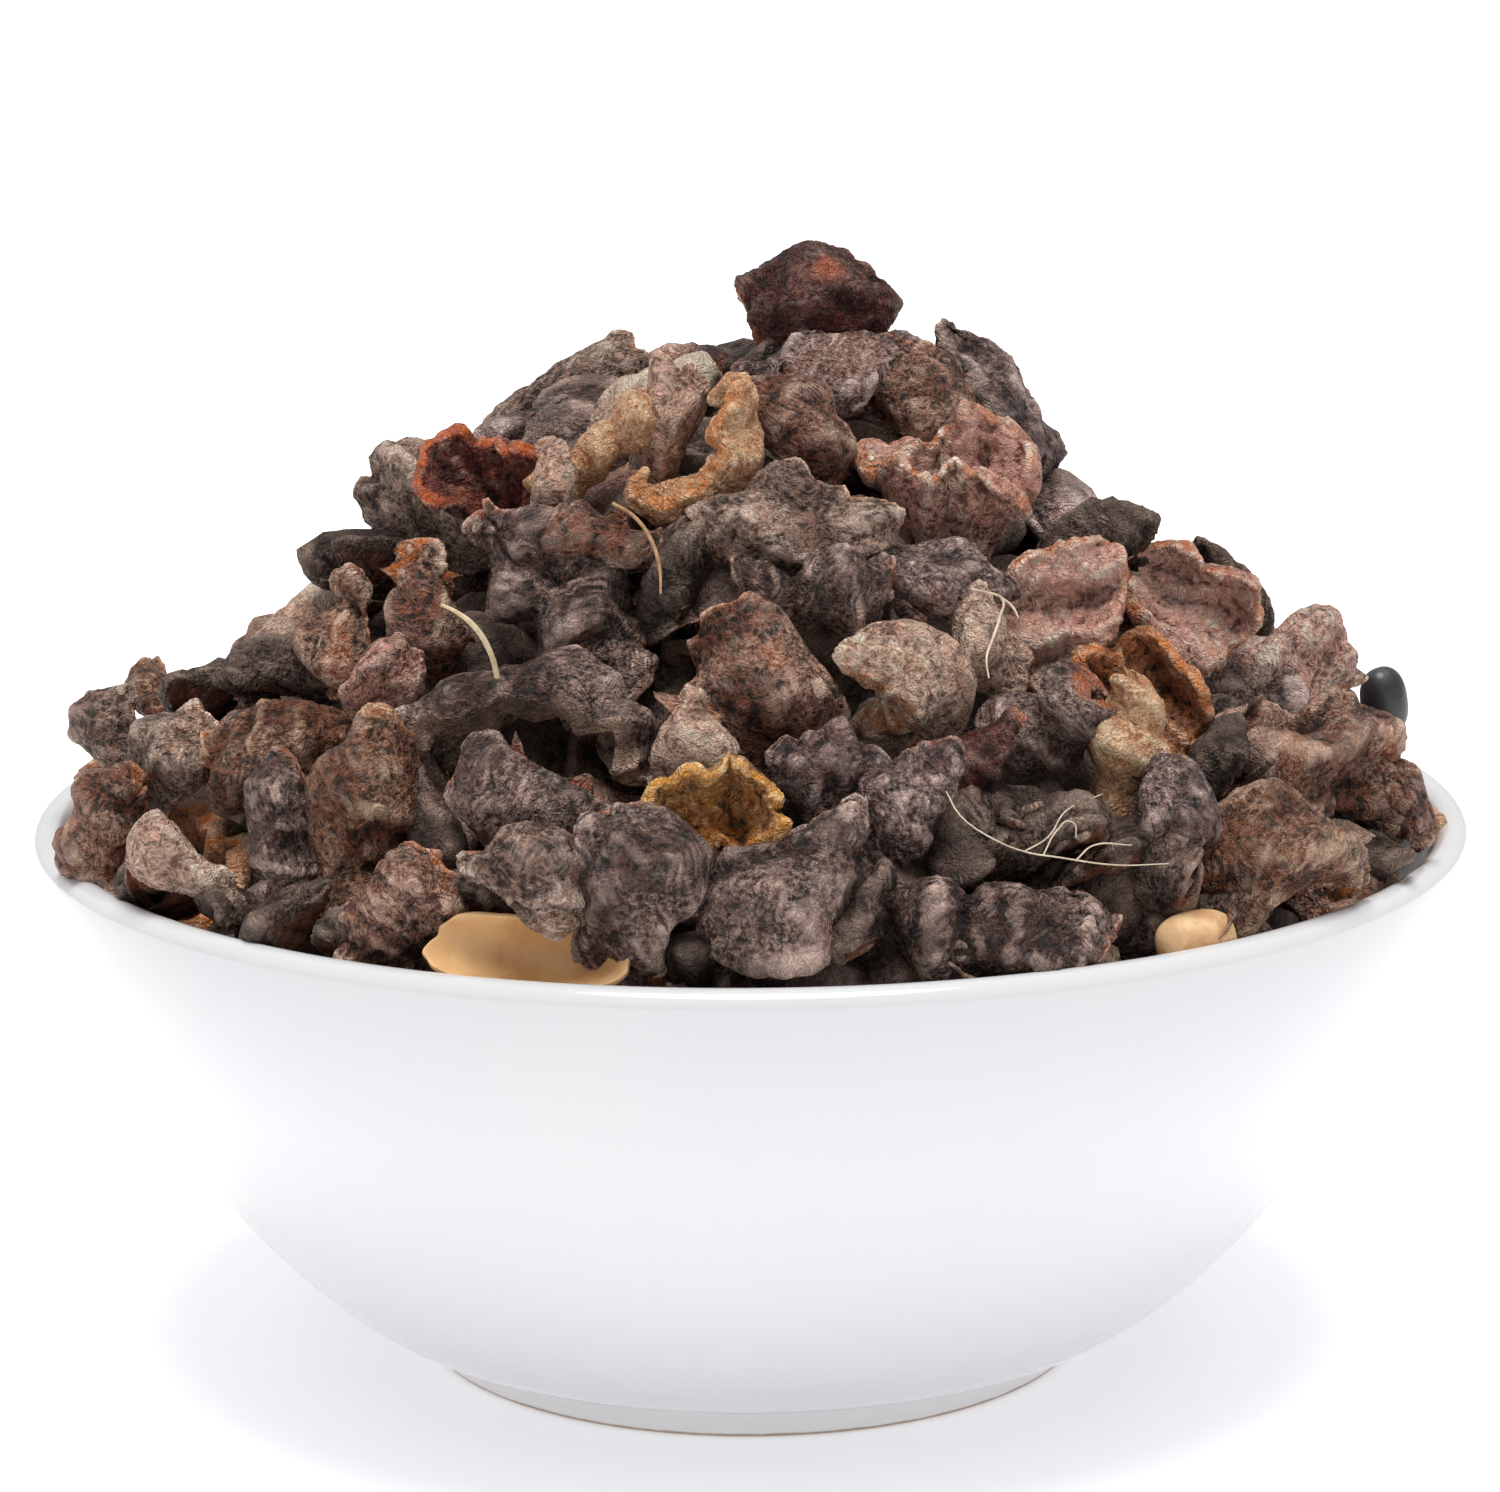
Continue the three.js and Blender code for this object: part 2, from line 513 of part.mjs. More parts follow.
// One unlisted piece: its draws give size, form and lie, its place is a bearing and a distance
function drawnPiece(seed, around, radius, rise, lengths, sink) {
  const outward = new THREE.Vector3(Math.sin(around), -Math.cos(around), 0);
  const fall = heapRise(radius - SLOPE_PROBE) - heapRise(radius + SLOPE_PROBE);
  const steepness = Math.atan(fall / (2 * SLOPE_PROBE));
  const normal = new THREE.Vector3(0, 0, Math.cos(steepness)).addScaledVector(outward, Math.sin(steepness));
  const length = between(seed, 11, ...lengths);
  return {
    seed,
    form: DRAWN_FORMS[Math.floor(draw(seed, 12) * DRAWN_FORMS.length)],
    size: [length, length * between(seed, 13, ...WIDTH_SHARES), length * between(seed, 14, ...DEPTH_SHARES)],
    face: [
      degrees(around) + between(seed, 15, ...LEAN_ASIDE),
      90 - degrees(steepness) + between(seed, 16, ...LEAN_UP),
    ],
    turn: between(seed, 17, 0, 180),
    spot: outward.clone().multiplyScalar(radius).setZ(BOWL_HEIGHT + rise),
    toward: normal,
    out: -sink,
  };
}

// Pieces over the whole heap, sunk below the listed ones at the front
function slopePieces() {
  return Array.from({ length: SLOPE_COUNT }, (_, index) => {
    const radius = SLOPE_RADIUS * Math.sqrt((index + 0.5) / SLOPE_COUNT);
    const around = index * GOLDEN_TURN;
    const sink = Math.cos(around) > FRONT_HALF ? FRONT_SINK : SLOPE_SINK;
    return drawnPiece(FIRST_SLOPE_SEED + index, around, radius, heapRise(radius), SLOPE_LENGTHS, sink);
  });
}

// Pieces standing in a ring against the bowl's inner wall
function ringPieces() {
  return Array.from({ length: RING_COUNT }, (_, index) => {
    const around = ((index + 0.5) * 2 * Math.PI) / RING_COUNT;
    return drawnPiece(FIRST_RING_SEED + index, around, RING_RADIUS, RING_RISE, RING_LENGTHS, 0);
  });
}

// A point of the bowl's outer side, from just under the lip down to the foot
function sidePoint(share) {
  const points = [
    [LIP_RADIUS, BOWL_HEIGHT - WALL / 2],
    SIDE_PULL_HIGH,
    SIDE_PULL_LOW,
    [BODY_START_RADIUS, FOOT_HEIGHT],
  ];
  const rest = 1 - share;
  const weights = [rest ** 3, 3 * share * rest ** 2, 3 * share ** 2 * rest, share ** 3];
  return [0, 1].map((k) => points.reduce((sum, point, i) => sum + weights[i] * point[k], 0));
}

// The same side moved outwards by a distance
function sideOffset(share, distance) {
  const [r, z] = sidePoint(share);
  const [lowR, lowZ] = sidePoint(Math.min(1, share + TANGENT_STEP));
  const [highR, highZ] = sidePoint(Math.max(0, share - TANGENT_STEP));
  const length = Math.hypot(lowR - highR, lowZ - highZ);
  const outwards = [(highZ - lowZ) / length, (lowR - highR) / length];
  return new THREE.Vector2(r + outwards[0] * distance, z + outwards[1] * distance);
}

// The bowl's section as a closed turned profile, grown by a margin
function bowlProfile(margin) {
  const shares = Array.from({ length: BODY_STEPS + 1 }, (_, step) => step / BODY_STEPS);
  const outer = [...shares].reverse().map((share) => sideOffset(share, margin));
  const floor = FOOT_RECESS + FLOOR_THICKNESS + margin;
  const inner = shares
    .map((share) => sideOffset(share, -WALL - margin))
    .filter((point) => point.y > floor + FLOOR_EASE[1]);
  const lip = Array.from({ length: LIP_STEPS - 1 }, (_, step) => {
    const angle = (Math.PI * (step + 1)) / LIP_STEPS;
    const round = WALL / 2 + margin;
    const middle = new THREE.Vector2(LIP_RADIUS - WALL / 2, BOWL_HEIGHT - WALL / 2);
    return middle.add(new THREE.Vector2(round * Math.cos(angle), round * Math.sin(angle)));
  });
  const recessRadius = FOOT_RADIUS - FOOT_RING_WIDTH - margin;
  return [
    new THREE.Vector2(0, FOOT_RECESS - margin),
    new THREE.Vector2(recessRadius, FOOT_RECESS - margin),
    new THREE.Vector2(recessRadius + FOOT_EDGE, -margin),
    new THREE.Vector2(FOOT_RADIUS - FOOT_EDGE, -margin),
    new THREE.Vector2(FOOT_RADIUS, FOOT_EDGE),
    ...outer,
    ...lip,
    ...inner,
    new THREE.Vector2(inner.at(-1).x - FLOOR_EASE[0], floor + FLOOR_EASE[1]),
    new THREE.Vector2(0, floor),
  ];
}

function turned(profile, segments) {
  const geometry = new THREE.LatheGeometry(profile, segments);
  geometry.rotateX(Math.PI / 2);
  geometry.deleteAttribute("normal");
  geometry.deleteAttribute("uv");
  return mergeVertices(geometry, MERGE_DISTANCE);
}

// The hidden core that the bed's pieces stand out of
function coreGeometry() {
  const profile = [
    new THREE.Vector2(0, CORE_FLOOR),
    new THREE.Vector2(CORE_FLOOR_RADIUS, CORE_FLOOR + CORE_FLOOR_LIFT),
    new THREE.Vector2(CORE_SHOULDER_RADIUS, CORE_SHOULDER),
  ];
  for (let step = 0; step <= CORE_STEPS; step += 1) {
    const radius = CORE_RADIUS * (1 - step / CORE_STEPS);
    profile.push(new THREE.Vector2(radius, BOWL_HEIGHT + heapRise(radius) - CORE_DEPTH));
  }
  return turned(profile, CORE_SEGMENTS).translate(0, CORE_SHIFT_BACK, 0);
}

// The pale stalk that stands up out of the big arch, from its root to its tip
const STALK_PATH = [
  [-19.2, -34.6, 62.5],
  [-19.8, -35.4, 66.3],
  [-21.0, -35.8, 68.7],
  [-23.2, -36.2, 70.2],
];
const STALK_RADIUS = 0.5;
const STALK_SIDES = 6;
const STALK_STEPS = 6;
const STALK_BEARER = "big_arch";
function stalkSolid() {
  const path = new THREE.CatmullRomCurve3(STALK_PATH.map((point) => new THREE.Vector3(...point)));
  const corners = Array.from({ length: STALK_SIDES }, (_, side) => {
    const angle = (side * 2 * Math.PI) / STALK_SIDES;
    return new THREE.Vector2(STALK_RADIUS * Math.cos(angle), STALK_RADIUS * Math.sin(angle));
  });
  const stalk = new THREE.ExtrudeGeometry(new THREE.Shape(corners), {
    steps: STALK_STEPS,
    extrudePath: path,
    bevelEnabled: false,
  });
  stalk.deleteAttribute("normal");
  stalk.deleteAttribute("uv");
  return solidFrom(mergeVertices(stalk, MERGE_DISTANCE));
}

// Each listed piece as a body, with the close and the rough shape that cut what lies against it
function placedPieces() {
  const listed = [...STONES, ...CREST, ...LEFT_SIDE, ...MIDDLE, ...RIGHT_SIDE].map((piece, i) =>
    onFront(piece, i + 1),
  );
  return listed.map((piece) => {
    const grid = Math.max(...piece.size) > LARGE_PIECE ? LARGE_GRID : MIDDLE_GRID;
    const geometry = pieceGeometry(piece, grid);
    const rough = solidFrom(grown(pieceGeometry(piece, ROUGH_GRID), ROUGH_CLEARANCE));
    let body = solidFrom(geometry);
    let cutter = solidFrom(grown(geometry, CLEARANCE));
    if (piece.name === STALK_BEARER) {
      const stalk = stalkSolid();
      body = body.add(stalk);
      cutter = cutter.add(stalk);
    }
    return { piece, body, cutter, rough, nearness: piece.spot.dot(FRONT_LOOK) };
  });
}

// Cuts each listed piece clear of the bowl and of the pieces nearer the front
function cutPieces(placed, bowlCutter) {
  const order = [...placed].sort((a, b) => b.nearness - a.nearness);
  order.forEach((entry, i) => {
    for (const other of order.slice(0, i)) {
      if (boxesMeet(entry.body, other.cutter)) entry.body = entry.body.subtract(other.cutter);
    }
    entry.body = largestBody(entry.body.subtract(bowlCutter).simplify(PIECE_TOLERANCE));
  });
}

// The rest of the heap: the core with every unlisted piece, cut clear of the listed ones
function bedSolid(placed, bowlCutter) {
  const gapBodies = GAP_PIECES.map((piece, i) => {
    const deeper = { ...piece, size: [piece.size[0], piece.size[1], GAP_DEPTH] };
    return solidFrom(pieceGeometry(onFront(deeper, FIRST_GAP_SEED + i), HIDDEN_GRID));
  });
  const drawn = [...slopePieces(), ...ringPieces()].map((piece) =>
    solidFrom(pieceGeometry(piece, SMALL_GRID)),
  );
  const covered = wasm.Manifold.union(placed.map((entry) => entry.rough));
  const seen = drawn.filter((body) => body.intersect(covered).volume() < MOST_COVERED * body.volume());
  let bed = wasm.Manifold.union([solidFrom(coreGeometry()), ...gapBodies, ...seen]).subtract(covered);
  for (const { body, cutter } of placed) {
    if (bed.intersect(body).volume() > 0) bed = bed.subtract(cutter);
  }
  return largestBody(bed.subtract(bowlCutter).simplify(BED_TOLERANCE));
}

function skinMaterial(color, roughness) {
  return new THREE.MeshStandardMaterial({ color, roughness, metalness: 0 });
}

const bowl = solidFrom(turned(bowlProfile(0), BOWL_SEGMENTS));
const bowlCutter = solidFrom(turned(bowlProfile(CLEARANCE), BOWL_SEGMENTS));
const placed = placedPieces();
cutPieces(placed, bowlCutter);
const bed = bedSolid(placed, bowlCutter);

const group = new THREE.Group();
group.name = "gooseberry_bowl";
group.add(meshFrom(bowl, "bowl", skinMaterial(GLAZE_COLOUR, GLAZE_ROUGHNESS)));
group.add(meshFrom(bed, "heap_bed", skinMaterial(BED_COLOUR, SKIN_ROUGHNESS)));
placed.forEach(({ piece, body }) => {
  const roughness = SMOOTH_FORMS.includes(piece.form) ? SHELL_ROUGHNESS : SKIN_ROUGHNESS;
  group.add(meshFrom(body, piece.name, skinMaterial(TONES[piece.tone], roughness)));
});

export default group;
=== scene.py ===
"""Dresses a white footed bowl heaped with dried gooseberry pieces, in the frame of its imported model."""

import logging
import math
from dataclasses import dataclass, field, fields, replace
from enum import Enum, IntEnum

import bpy
import numpy as np
from mathutils import Matrix, Vector


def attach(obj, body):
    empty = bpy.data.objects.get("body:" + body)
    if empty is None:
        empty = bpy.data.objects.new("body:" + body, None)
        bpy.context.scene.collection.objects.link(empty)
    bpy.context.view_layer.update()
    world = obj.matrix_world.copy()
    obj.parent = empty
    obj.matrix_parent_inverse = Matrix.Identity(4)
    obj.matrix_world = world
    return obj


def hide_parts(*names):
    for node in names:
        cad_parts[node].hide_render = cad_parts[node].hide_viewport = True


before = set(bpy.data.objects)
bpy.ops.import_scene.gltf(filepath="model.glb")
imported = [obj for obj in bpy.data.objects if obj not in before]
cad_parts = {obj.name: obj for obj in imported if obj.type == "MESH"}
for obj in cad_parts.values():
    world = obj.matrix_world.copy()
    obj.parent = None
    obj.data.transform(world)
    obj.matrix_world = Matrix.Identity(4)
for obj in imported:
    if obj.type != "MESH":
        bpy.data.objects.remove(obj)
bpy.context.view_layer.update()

LOG = logging.getLogger("gooseberry_bowl")
MM = 0.001

Colour = tuple[float, float, float, float]
Pair = tuple[float, float]
Triple = tuple[float, float, float]


def srgb(red: int, green: int, blue: int) -> Colour:
    """A linear colour from three display values.

    Args:
        red: Red, from 0 to 255.
        green: Green, from 0 to 255.
        blue: Blue, from 0 to 255.

    Returns:
        The same colour as linear RGBA.
    """
    values = []
    for channel in (red, green, blue):
        share = channel / 255
        values.append(share / 12.92 if share <= 0.04045 else ((share + 0.055) / 1.055) ** 2.4)
    return (values[0], values[1], values[2], 1.0)


class Draw(IntEnum):
    """The numbers of the draws that each piece makes from its seed."""

    OUTLINE = 1
    SWELL = 4
    FOLD = 5
    RIB = 6
    TWIST = 7
    KNOB = 8
    LENGTH = 11
    FORM = 12
    WIDTH = 13
    THICKNESS = 14
    SWING = 15
    TILT = 16
    TURN = 17
    CREASE = 18
    CROSSING = 19
    NEAR_CREASE = 20
    FAR_CREASE = 21
    TONE = 22
    APART = 30
    NET_DEPTH = 41
    PUCKER_DEPTH = 42
    LIE = 50
    SWAY = 55
    SHIFT = 60
    BEND = 70
    FADE = 75
    TEAR = 80


def draw(seed: int, index: int) -> float:
    """A steady draw from 0 to 1 for a piece's seed and the draw's index."""
    wave = math.sin(seed * 12.9898 + index * 78.233) * 43758.5453
    return wave - math.floor(wave)


def between(seed: int, index: int, low: float, high: float) -> float:
    """A steady draw between two values."""
    return low + (high - low) * draw(seed, index)


def phase(seed: int, index: int) -> float:
    """A steady draw of a phase, in radians."""
    return 2 * math.pi * draw(seed, index)


# The pieces and how they are formed


class Form(Enum):
    """How a dried piece is shaped: sheet, edge, curl, bend, ruffle, wave, crease and twist."""

    LUMP = (0.3, 0.28, 165, 75, 0.19, 0.05, 0.6, 16)
    FLAKE = (0.14, 0.22, 90, 75, 0.2, 0.08, 0.36, 25)
    LOG = (0.18, 0.25, 275, 30, 0.15, 0.05, 0.22, 25)
    ARCH = (0.24, 0.25, 110, 175, 0.15, 0.05, 0.2, 10)
    CUP = (0.16, 0.3, -190, -120, 0.13, 0.05, 0.14, 8)
    VALVE = (0.1, 0.4, -150, -60, 0.06, 0.0, 0.0, 0)
    STONE = (1.0, 1.0, 0, 0, 0.0, 0.0, 0.0, 0)


@dataclass(frozen=True)
class Sheet:
    """One piece's own form values. Thickness and folds are shares of half its width."""

    sheet: float
    edge: float
    curl: float
    bend: float
    ruffle: float
    wave: float
    crease: float
    twist: float
    folds: float = 1.8
    ribs: float = 1.3


class Tone(Enum):
    """The shades that dried skin and flesh come in."""

    SLATE = "dark_skin"
    DUSK = "purple_grey_skin"
    UMBER = "brown_skin"
    OLIVE = "olive_grey_skin"
    PALE = "pale_flesh"
    PINK = "pink_flesh"
    TAN = "tan_flesh"
    AMBER = "amber_flesh"
    RED = "red_flesh"
    GOLD = "gold_flesh"
    SHELL = "seed_shell_tan"
    BEAD = "bead_black"


@dataclass(frozen=True)
class Piece:
    """One listed piece: where it lies on the heap's front, how it is turned, and its form.

    at is the distance right of the middle and the rise above the lip, in millimetres. face is the
    way its outer side looks, to the right and then up, and turn tips its long side up, in degrees.
    A piece that is edge_on shows its torn edge there instead of its outer side.
    """

    name: str
    at: Pair
    face: Pair
    turn: float
    size: Triple
    form: Form
    tone: Tone
    back: float | None = None
    out: float = 0.0
    shape: dict[str, float] = field(default_factory=dict)
    edge_on: bool = False

    def sheet(self) -> Sheet:
        """The form's values with this piece's own ones over them."""
        return replace(Sheet(*self.form.value), **self.shape)

    def smooth(self) -> bool:
        """Whether the piece is a hard seed or seed shell, with no wrinkles."""
        return self.form in (Form.VALVE, Form.STONE)


STONES: tuple[Piece, ...] = (
    Piece("seed_shell", (-16.2, 1.3), (-12, 28), -3, (15.8, 5.8, 5), Form.VALVE, Tone.SHELL, out=-0.5),
    Piece("tan_seed", (33.5, 0.2), (20, 20), 5, (6.5, 4.5, 4), Form.STONE, Tone.SHELL, out=0.3),
    Piece("black_bead", (53.5, 8.2), (30, 0), 100, (6, 4, 4), Form.STONE, Tone.BEAD, back=1),
)

CREST: tuple[Piece, ...] = (
    Piece(
        "crest_amber", (5.5, 42.5), (0, 20), -15, (12.5, 9.5, 7), Form.LUMP, Tone.RED, back=-4,
        shape=dict(sheet=0.55, edge=0.45, curl=90, bend=40, crease=0.36, ruffle=0.12),
    ),
    Piece("crest_slab", (7.5, 38), (10, 35), 14, (14.5, 8, 6), Form.LUMP, Tone.DUSK, back=-8),
    Piece("right_horn", (21, 34.5), (35, 10), 104, (15, 8.5, 6), Form.LOG, Tone.DUSK, back=-4),
    Piece("amber_shelf", (14, 36), (-5, 10), -12, (12, 8, 7), Form.FLAKE, Tone.UMBER, back=-9),
    Piece("pink_cup", (15.5, 30), (0, 72), -5, (14, 10, 11), Form.CUP, Tone.PINK),
    Piece("brown_arch", (4.5, 35), (50, 30), -50, (12, 8, 6), Form.ARCH, Tone.UMBER),
    Piece("tan_hook", (-3, 33), (90, -40), 90, (12.5, 6, 7), Form.ARCH, Tone.TAN),
    Piece("tan_log", (-11.5, 33.3), (0, 20), 32, (12.5, 5.2, 5), Form.LOG, Tone.TAN),
    Piece("spike_fold", (-6, 35.5), (20, 0), 100, (9.5, 6, 4.5), Form.FLAKE, Tone.PALE),
    Piece("grey_knuckle", (-15, 30.2), (0, 0), 80, (7.5, 5, 4.5), Form.LUMP, Tone.PALE),
    Piece("red_hollow", (-21, 29.5), (-10, 35), -10, (11, 8, 6), Form.CUP, Tone.RED),
    Piece("back_ridge", (-15.5, 33), (-20, 25), 22, (15, 9, 6), Form.FLAKE, Tone.OLIVE, back=6),
)

LEFT_SIDE: tuple[Piece, ...] = (
    Piece(
        "left_crown", (-26.5, 26.5), (-25, 10), -50, (13, 10, 6), Form.FLAKE, Tone.OLIVE,
        shape=dict(ruffle=0.26),
    ),
    Piece("left_brow", (-26, 21), (-20, 0), 80, (10.5, 8.5, 6), Form.LUMP, Tone.UMBER),
    Piece("left_fold", (-32.5, 18.5), (-35, 10), 60, (9, 7, 5), Form.FLAKE, Tone.UMBER),
    Piece("left_spire", (-53, 8), (-40, 20), 130, (10.5, 7, 4.5), Form.FLAKE, Tone.OLIVE),
    Piece("left_wedge", (-46, 9.5), (-30, 20), 60, (8.5, 7, 5), Form.FLAKE, Tone.OLIVE),
    Piece("left_lip_lump", (-51, 3.5), (-50, 10), 60, (10.5, 8.5, 7), Form.LUMP, Tone.UMBER),
    Piece("far_left_amber", (-52.5, 7.5), (-60, 30), 5, (7.5, 5, 4), Form.FLAKE, Tone.AMBER, back=14),
    Piece(
        "amber_slab", (-37.5, 12), (-15, 25), 36, (13, 7.5, 6), Form.LOG, Tone.AMBER,
        shape=dict(curl=150),
    ),
    Piece("small_fold", (-28.5, 16.5), (0, 10), 30, (7, 5.8, 4.5), Form.FLAKE, Tone.PINK),
    Piece("amber_log", (-30, 9), (-10, 20), 62, (15.5, 8.5, 7), Form.LOG, Tone.AMBER),
    Piece(
        "grey_crescent", (-36, 7), (-30, 0), 80, (12.5, 7, 5.5), Form.LOG, Tone.SLATE,
        shape=dict(curl=140, bend=60),
    ),
    Piece("pale_cap", (-43.5, 4), (-20, 35), 0, (9.5, 7, 6), Form.LUMP, Tone.PALE),
    Piece(
        "front_ribbed", (-26, 3.5), (-10, 10), 75, (10, 8, 6.5), Form.LOG, Tone.UMBER,
        shape=dict(curl=150),
    ),
)

MIDDLE: tuple[Piece, ...] = (
    Piece("big_arch", (-18, 15.5), (0, 118), -6, (20, 8, 10.5), Form.ARCH, Tone.SLATE),
    Piece("fluted_grey", (-16, 11), (0, 15), -10, (12.5, 9.5, 7), Form.LUMP, Tone.SLATE),
    Piece(
        "grey_star", (-15, 7), (0, 10), 15, (11, 8, 6), Form.FLAKE, Tone.OLIVE, out=1.0,
        shape=dict(ruffle=0.22, sheet=0.3),
    ),
    Piece("dark_wrinkled", (-9, 6.5), (0, 10), 70, (12, 9.5, 7), Form.LUMP, Tone.SLATE),
    Piece(
        "spiral_lobes", (-15, 23), (-5, 20), -35, (18, 10.5, 8.5), Form.LOG, Tone.SLATE,
        shape=dict(folds=3, wave=0.13),
    ),
    Piece("fibre_lump", (-11, 27.5), (0, 15), -25, (8.5, 6, 5), Form.LUMP, Tone.UMBER),
    Piece("flake_top", (3, 28.5), (-10, 25), -25, (14, 9.5, 5.5), Form.FLAKE, Tone.OLIVE),
    Piece("flake_belt", (5.5, 24), (5, 20), 13, (11.5, 8, 6), Form.LOG, Tone.SLATE),
    Piece("flake_low", (1.5, 17), (0, 5), 75, (14.5, 13, 6), Form.FLAKE, Tone.UMBER),
    Piece("tan_column", (-4.5, 14.5), (0, 5), 80, (8.5, 6.5, 5.5), Form.LUMP, Tone.PALE),
    Piece("amber_gold", (-2.5, 11), (0, 15), -5, (10, 7.5, 5.5), Form.CUP, Tone.GOLD),
    Piece("ring_whorl", (12, 17.5), (85, 15), 90, (10, 6, 9.5), Form.ARCH, Tone.PALE, shape=dict(bend=250)),
    Piece("slab_diagonal", (14, 25), (0, 25), -38, (12.5, 7, 5), Form.FLAKE, Tone.DUSK),
    Piece(
        "pale_fan", (24.5, 21), (5, 20), 60, (13, 9.5, 5), Form.CUP, Tone.PINK,
        shape=dict(curl=-80, bend=-40),
    ),
    Piece("fan_hinge", (18.5, 20), (0, 20), -50, (10, 5.5, 4.5), Form.FLAKE, Tone.PALE),
    Piece("grey_log", (22.5, 14.5), (-30, 10), 50, (10, 8.5, 7.5), Form.LOG, Tone.SLATE),
    Piece("red_log", (16.5, 13.5), (0, 15), 60, (9, 5.5, 5), Form.LOG, Tone.RED),
    Piece("grey_tooth", (11.5, 11), (10, 5), 75, (10.5, 6.5, 5.5), Form.FLAKE, Tone.DUSK),
    Piece("pink_crust", (6, 13), (0, 20), -15, (9, 7.5, 6), Form.LUMP, Tone.DUSK),
    Piece("front_block", (3, 6.5), (5, 20), 20, (14, 11.5, 9), Form.LUMP, Tone.SLATE),
    Piece(
        "long_low", (18, 3), (0, 15), 6, (17.5, 8, 7), Form.LOG, Tone.SLATE,
        shape=dict(curl=160, folds=2.6, wave=0.12),
    ),
)

RIGHT_SIDE: tuple[Piece, ...] = (
    Piece(
        "right_round", (34.5, 19), (20, 20), -40, (12, 10.5, 6), Form.CUP, Tone.PINK,
        shape=dict(curl=-120, bend=-70),
    ),
    Piece(
        "right_curl", (30.5, 15.5), (10, 15), -30, (11.5, 9, 5.5), Form.CUP, Tone.AMBER,
        shape=dict(curl=-110),
    ),
    Piece("tan_bone", (29, 11.5), (0, 10), 68, (13.5, 7, 6.5), Form.LOG, Tone.TAN),
    Piece("right_wing", (45, 13), (25, 20), 25, (12, 8, 5.5), Form.FLAKE, Tone.PINK),
    Piece(
        "ribbed_half", (43.5, 9), (20, 25), 8, (17, 11, 9), Form.LUMP, Tone.UMBER,
        shape=dict(ribs=3.2, wave=0.16, curl=90),
    ),
    Piece("right_lip_bit", (52, 5.5), (40, 10), 100, (8, 5, 5), Form.LUMP, Tone.UMBER),
    Piece("right_round_low", (40, 5), (10, 15), 10, (14, 11, 7.5), Form.LUMP, Tone.AMBER),
    Piece("right_cluster", (32, 7.5), (10, 10), 60, (10.5, 8.5, 7), Form.LUMP, Tone.DUSK, out=-1.5),
)


def gap_piece(number: int, at: Pair, face: Pair, turn: float, size: Triple, **more: float | Form) -> Piece:
    """A wrinkled scrap that is seen between the listed pieces.

    Args:
        number: Its number, for its name.
        at: Its distance right of the middle and its rise above the lip.
        face: The way its outer side looks.
        turn: How its long side is tipped.
        size: Its length, width and thickness.
        **more: Its own form, back or out, where it has one.

    Returns:
        The piece.
    """
    form = more.pop("form", Form.LUMP)
    return Piece(f"gap_{number}", at, face, turn, size, form, Tone.SLATE, **more)


GAPS: tuple[Piece, ...] = tuple(
    gap_piece(number, *row[:4], **(row[4] if len(row) > 4 else {}))
    for number, row in enumerate(
        (
            ((2.5, 39), (0, 20), 10, (7, 5, 4), dict(back=-9)),
            ((-2.5, 35.5), (0, 30), 5, (8, 5, 4), dict(back=6)),
            ((-30, 23), (-60, 10), 40, (7, 5.5, 4.5)),
            ((-36.5, 15.5), (-30, 10), 0, (8.5, 6, 5)),
            ((-46, 12), (-20, 20), 10, (6.5, 5, 4)),
            ((-39, 0.5), (-20, 20), 0, (6, 5, 4)),
            ((-33.5, 1.5), (-20, 20), 60, (8, 6, 5)),
            ((-24.5, 9.5), (30, 0), 100, (7.5, 5, 3.5)),
            ((-20.5, 4), (0, 20), -10, (9, 5, 4.5), dict(out=-3)),
            ((-4.5, 24.5), (0, 20), 60, (9, 7.5, 6)),
            ((-1.5, 4), (0, 20), 80, (9, 5.5, 5)),
            ((8, 4.5), (10, 20), 60, (8, 6, 5)),
            ((20, 10), (0, 20), 0, (5.5, 4.5, 3.5), dict(form=Form.FLAKE)),
            ((22, 8), (0, 20), 20, (9, 6.5, 5)),
            ((27, 6.5), (0, 20), 20, (9, 7, 5)),
            ((27, 24.5), (30, 20), 20, (8, 6, 5)),
            ((40, 17), (30, 10), 112, (9, 4, 3), dict(form=Form.FLAKE, back=3)),
            ((36.5, 10.5), (10, 20), 50, (7, 5, 4.5)),
            ((48.5, 2), (30, 20), 70, (6.5, 4.5, 4)),
            ((37.5, 13), (10, 20), 10, (6.5, 4.5, 3), dict(form=Form.FLAKE)),
            ((49, 3), (40, 20), 60, (9, 7, 7), dict(back=2)),
            ((-48.5, 3), (-40, 20), 60, (9, 7, 7), dict(back=14)),
            ((-45.5, 0.5), (-40, 20), 40, (7, 5, 5)),
            ((-29, 0.8), (-20, 20), 20, (6, 4.5, 5)),
            ((-4, 0.8), (0, 20), 10, (9, 5, 5)),
            ((14.5, 1), (10, 20), -20, (7, 5, 5)),
            ((32, 1), (20, 20), 30, (8, 5.5, 5)),
            ((30.5, 6.5), (20, 20), 100, (7.5, 5.5, 5), dict(form=Form.FLAKE)),
            ((16.5, 8.5), (10, 20), 70, (7.5, 6, 5)),
        )
    )
)

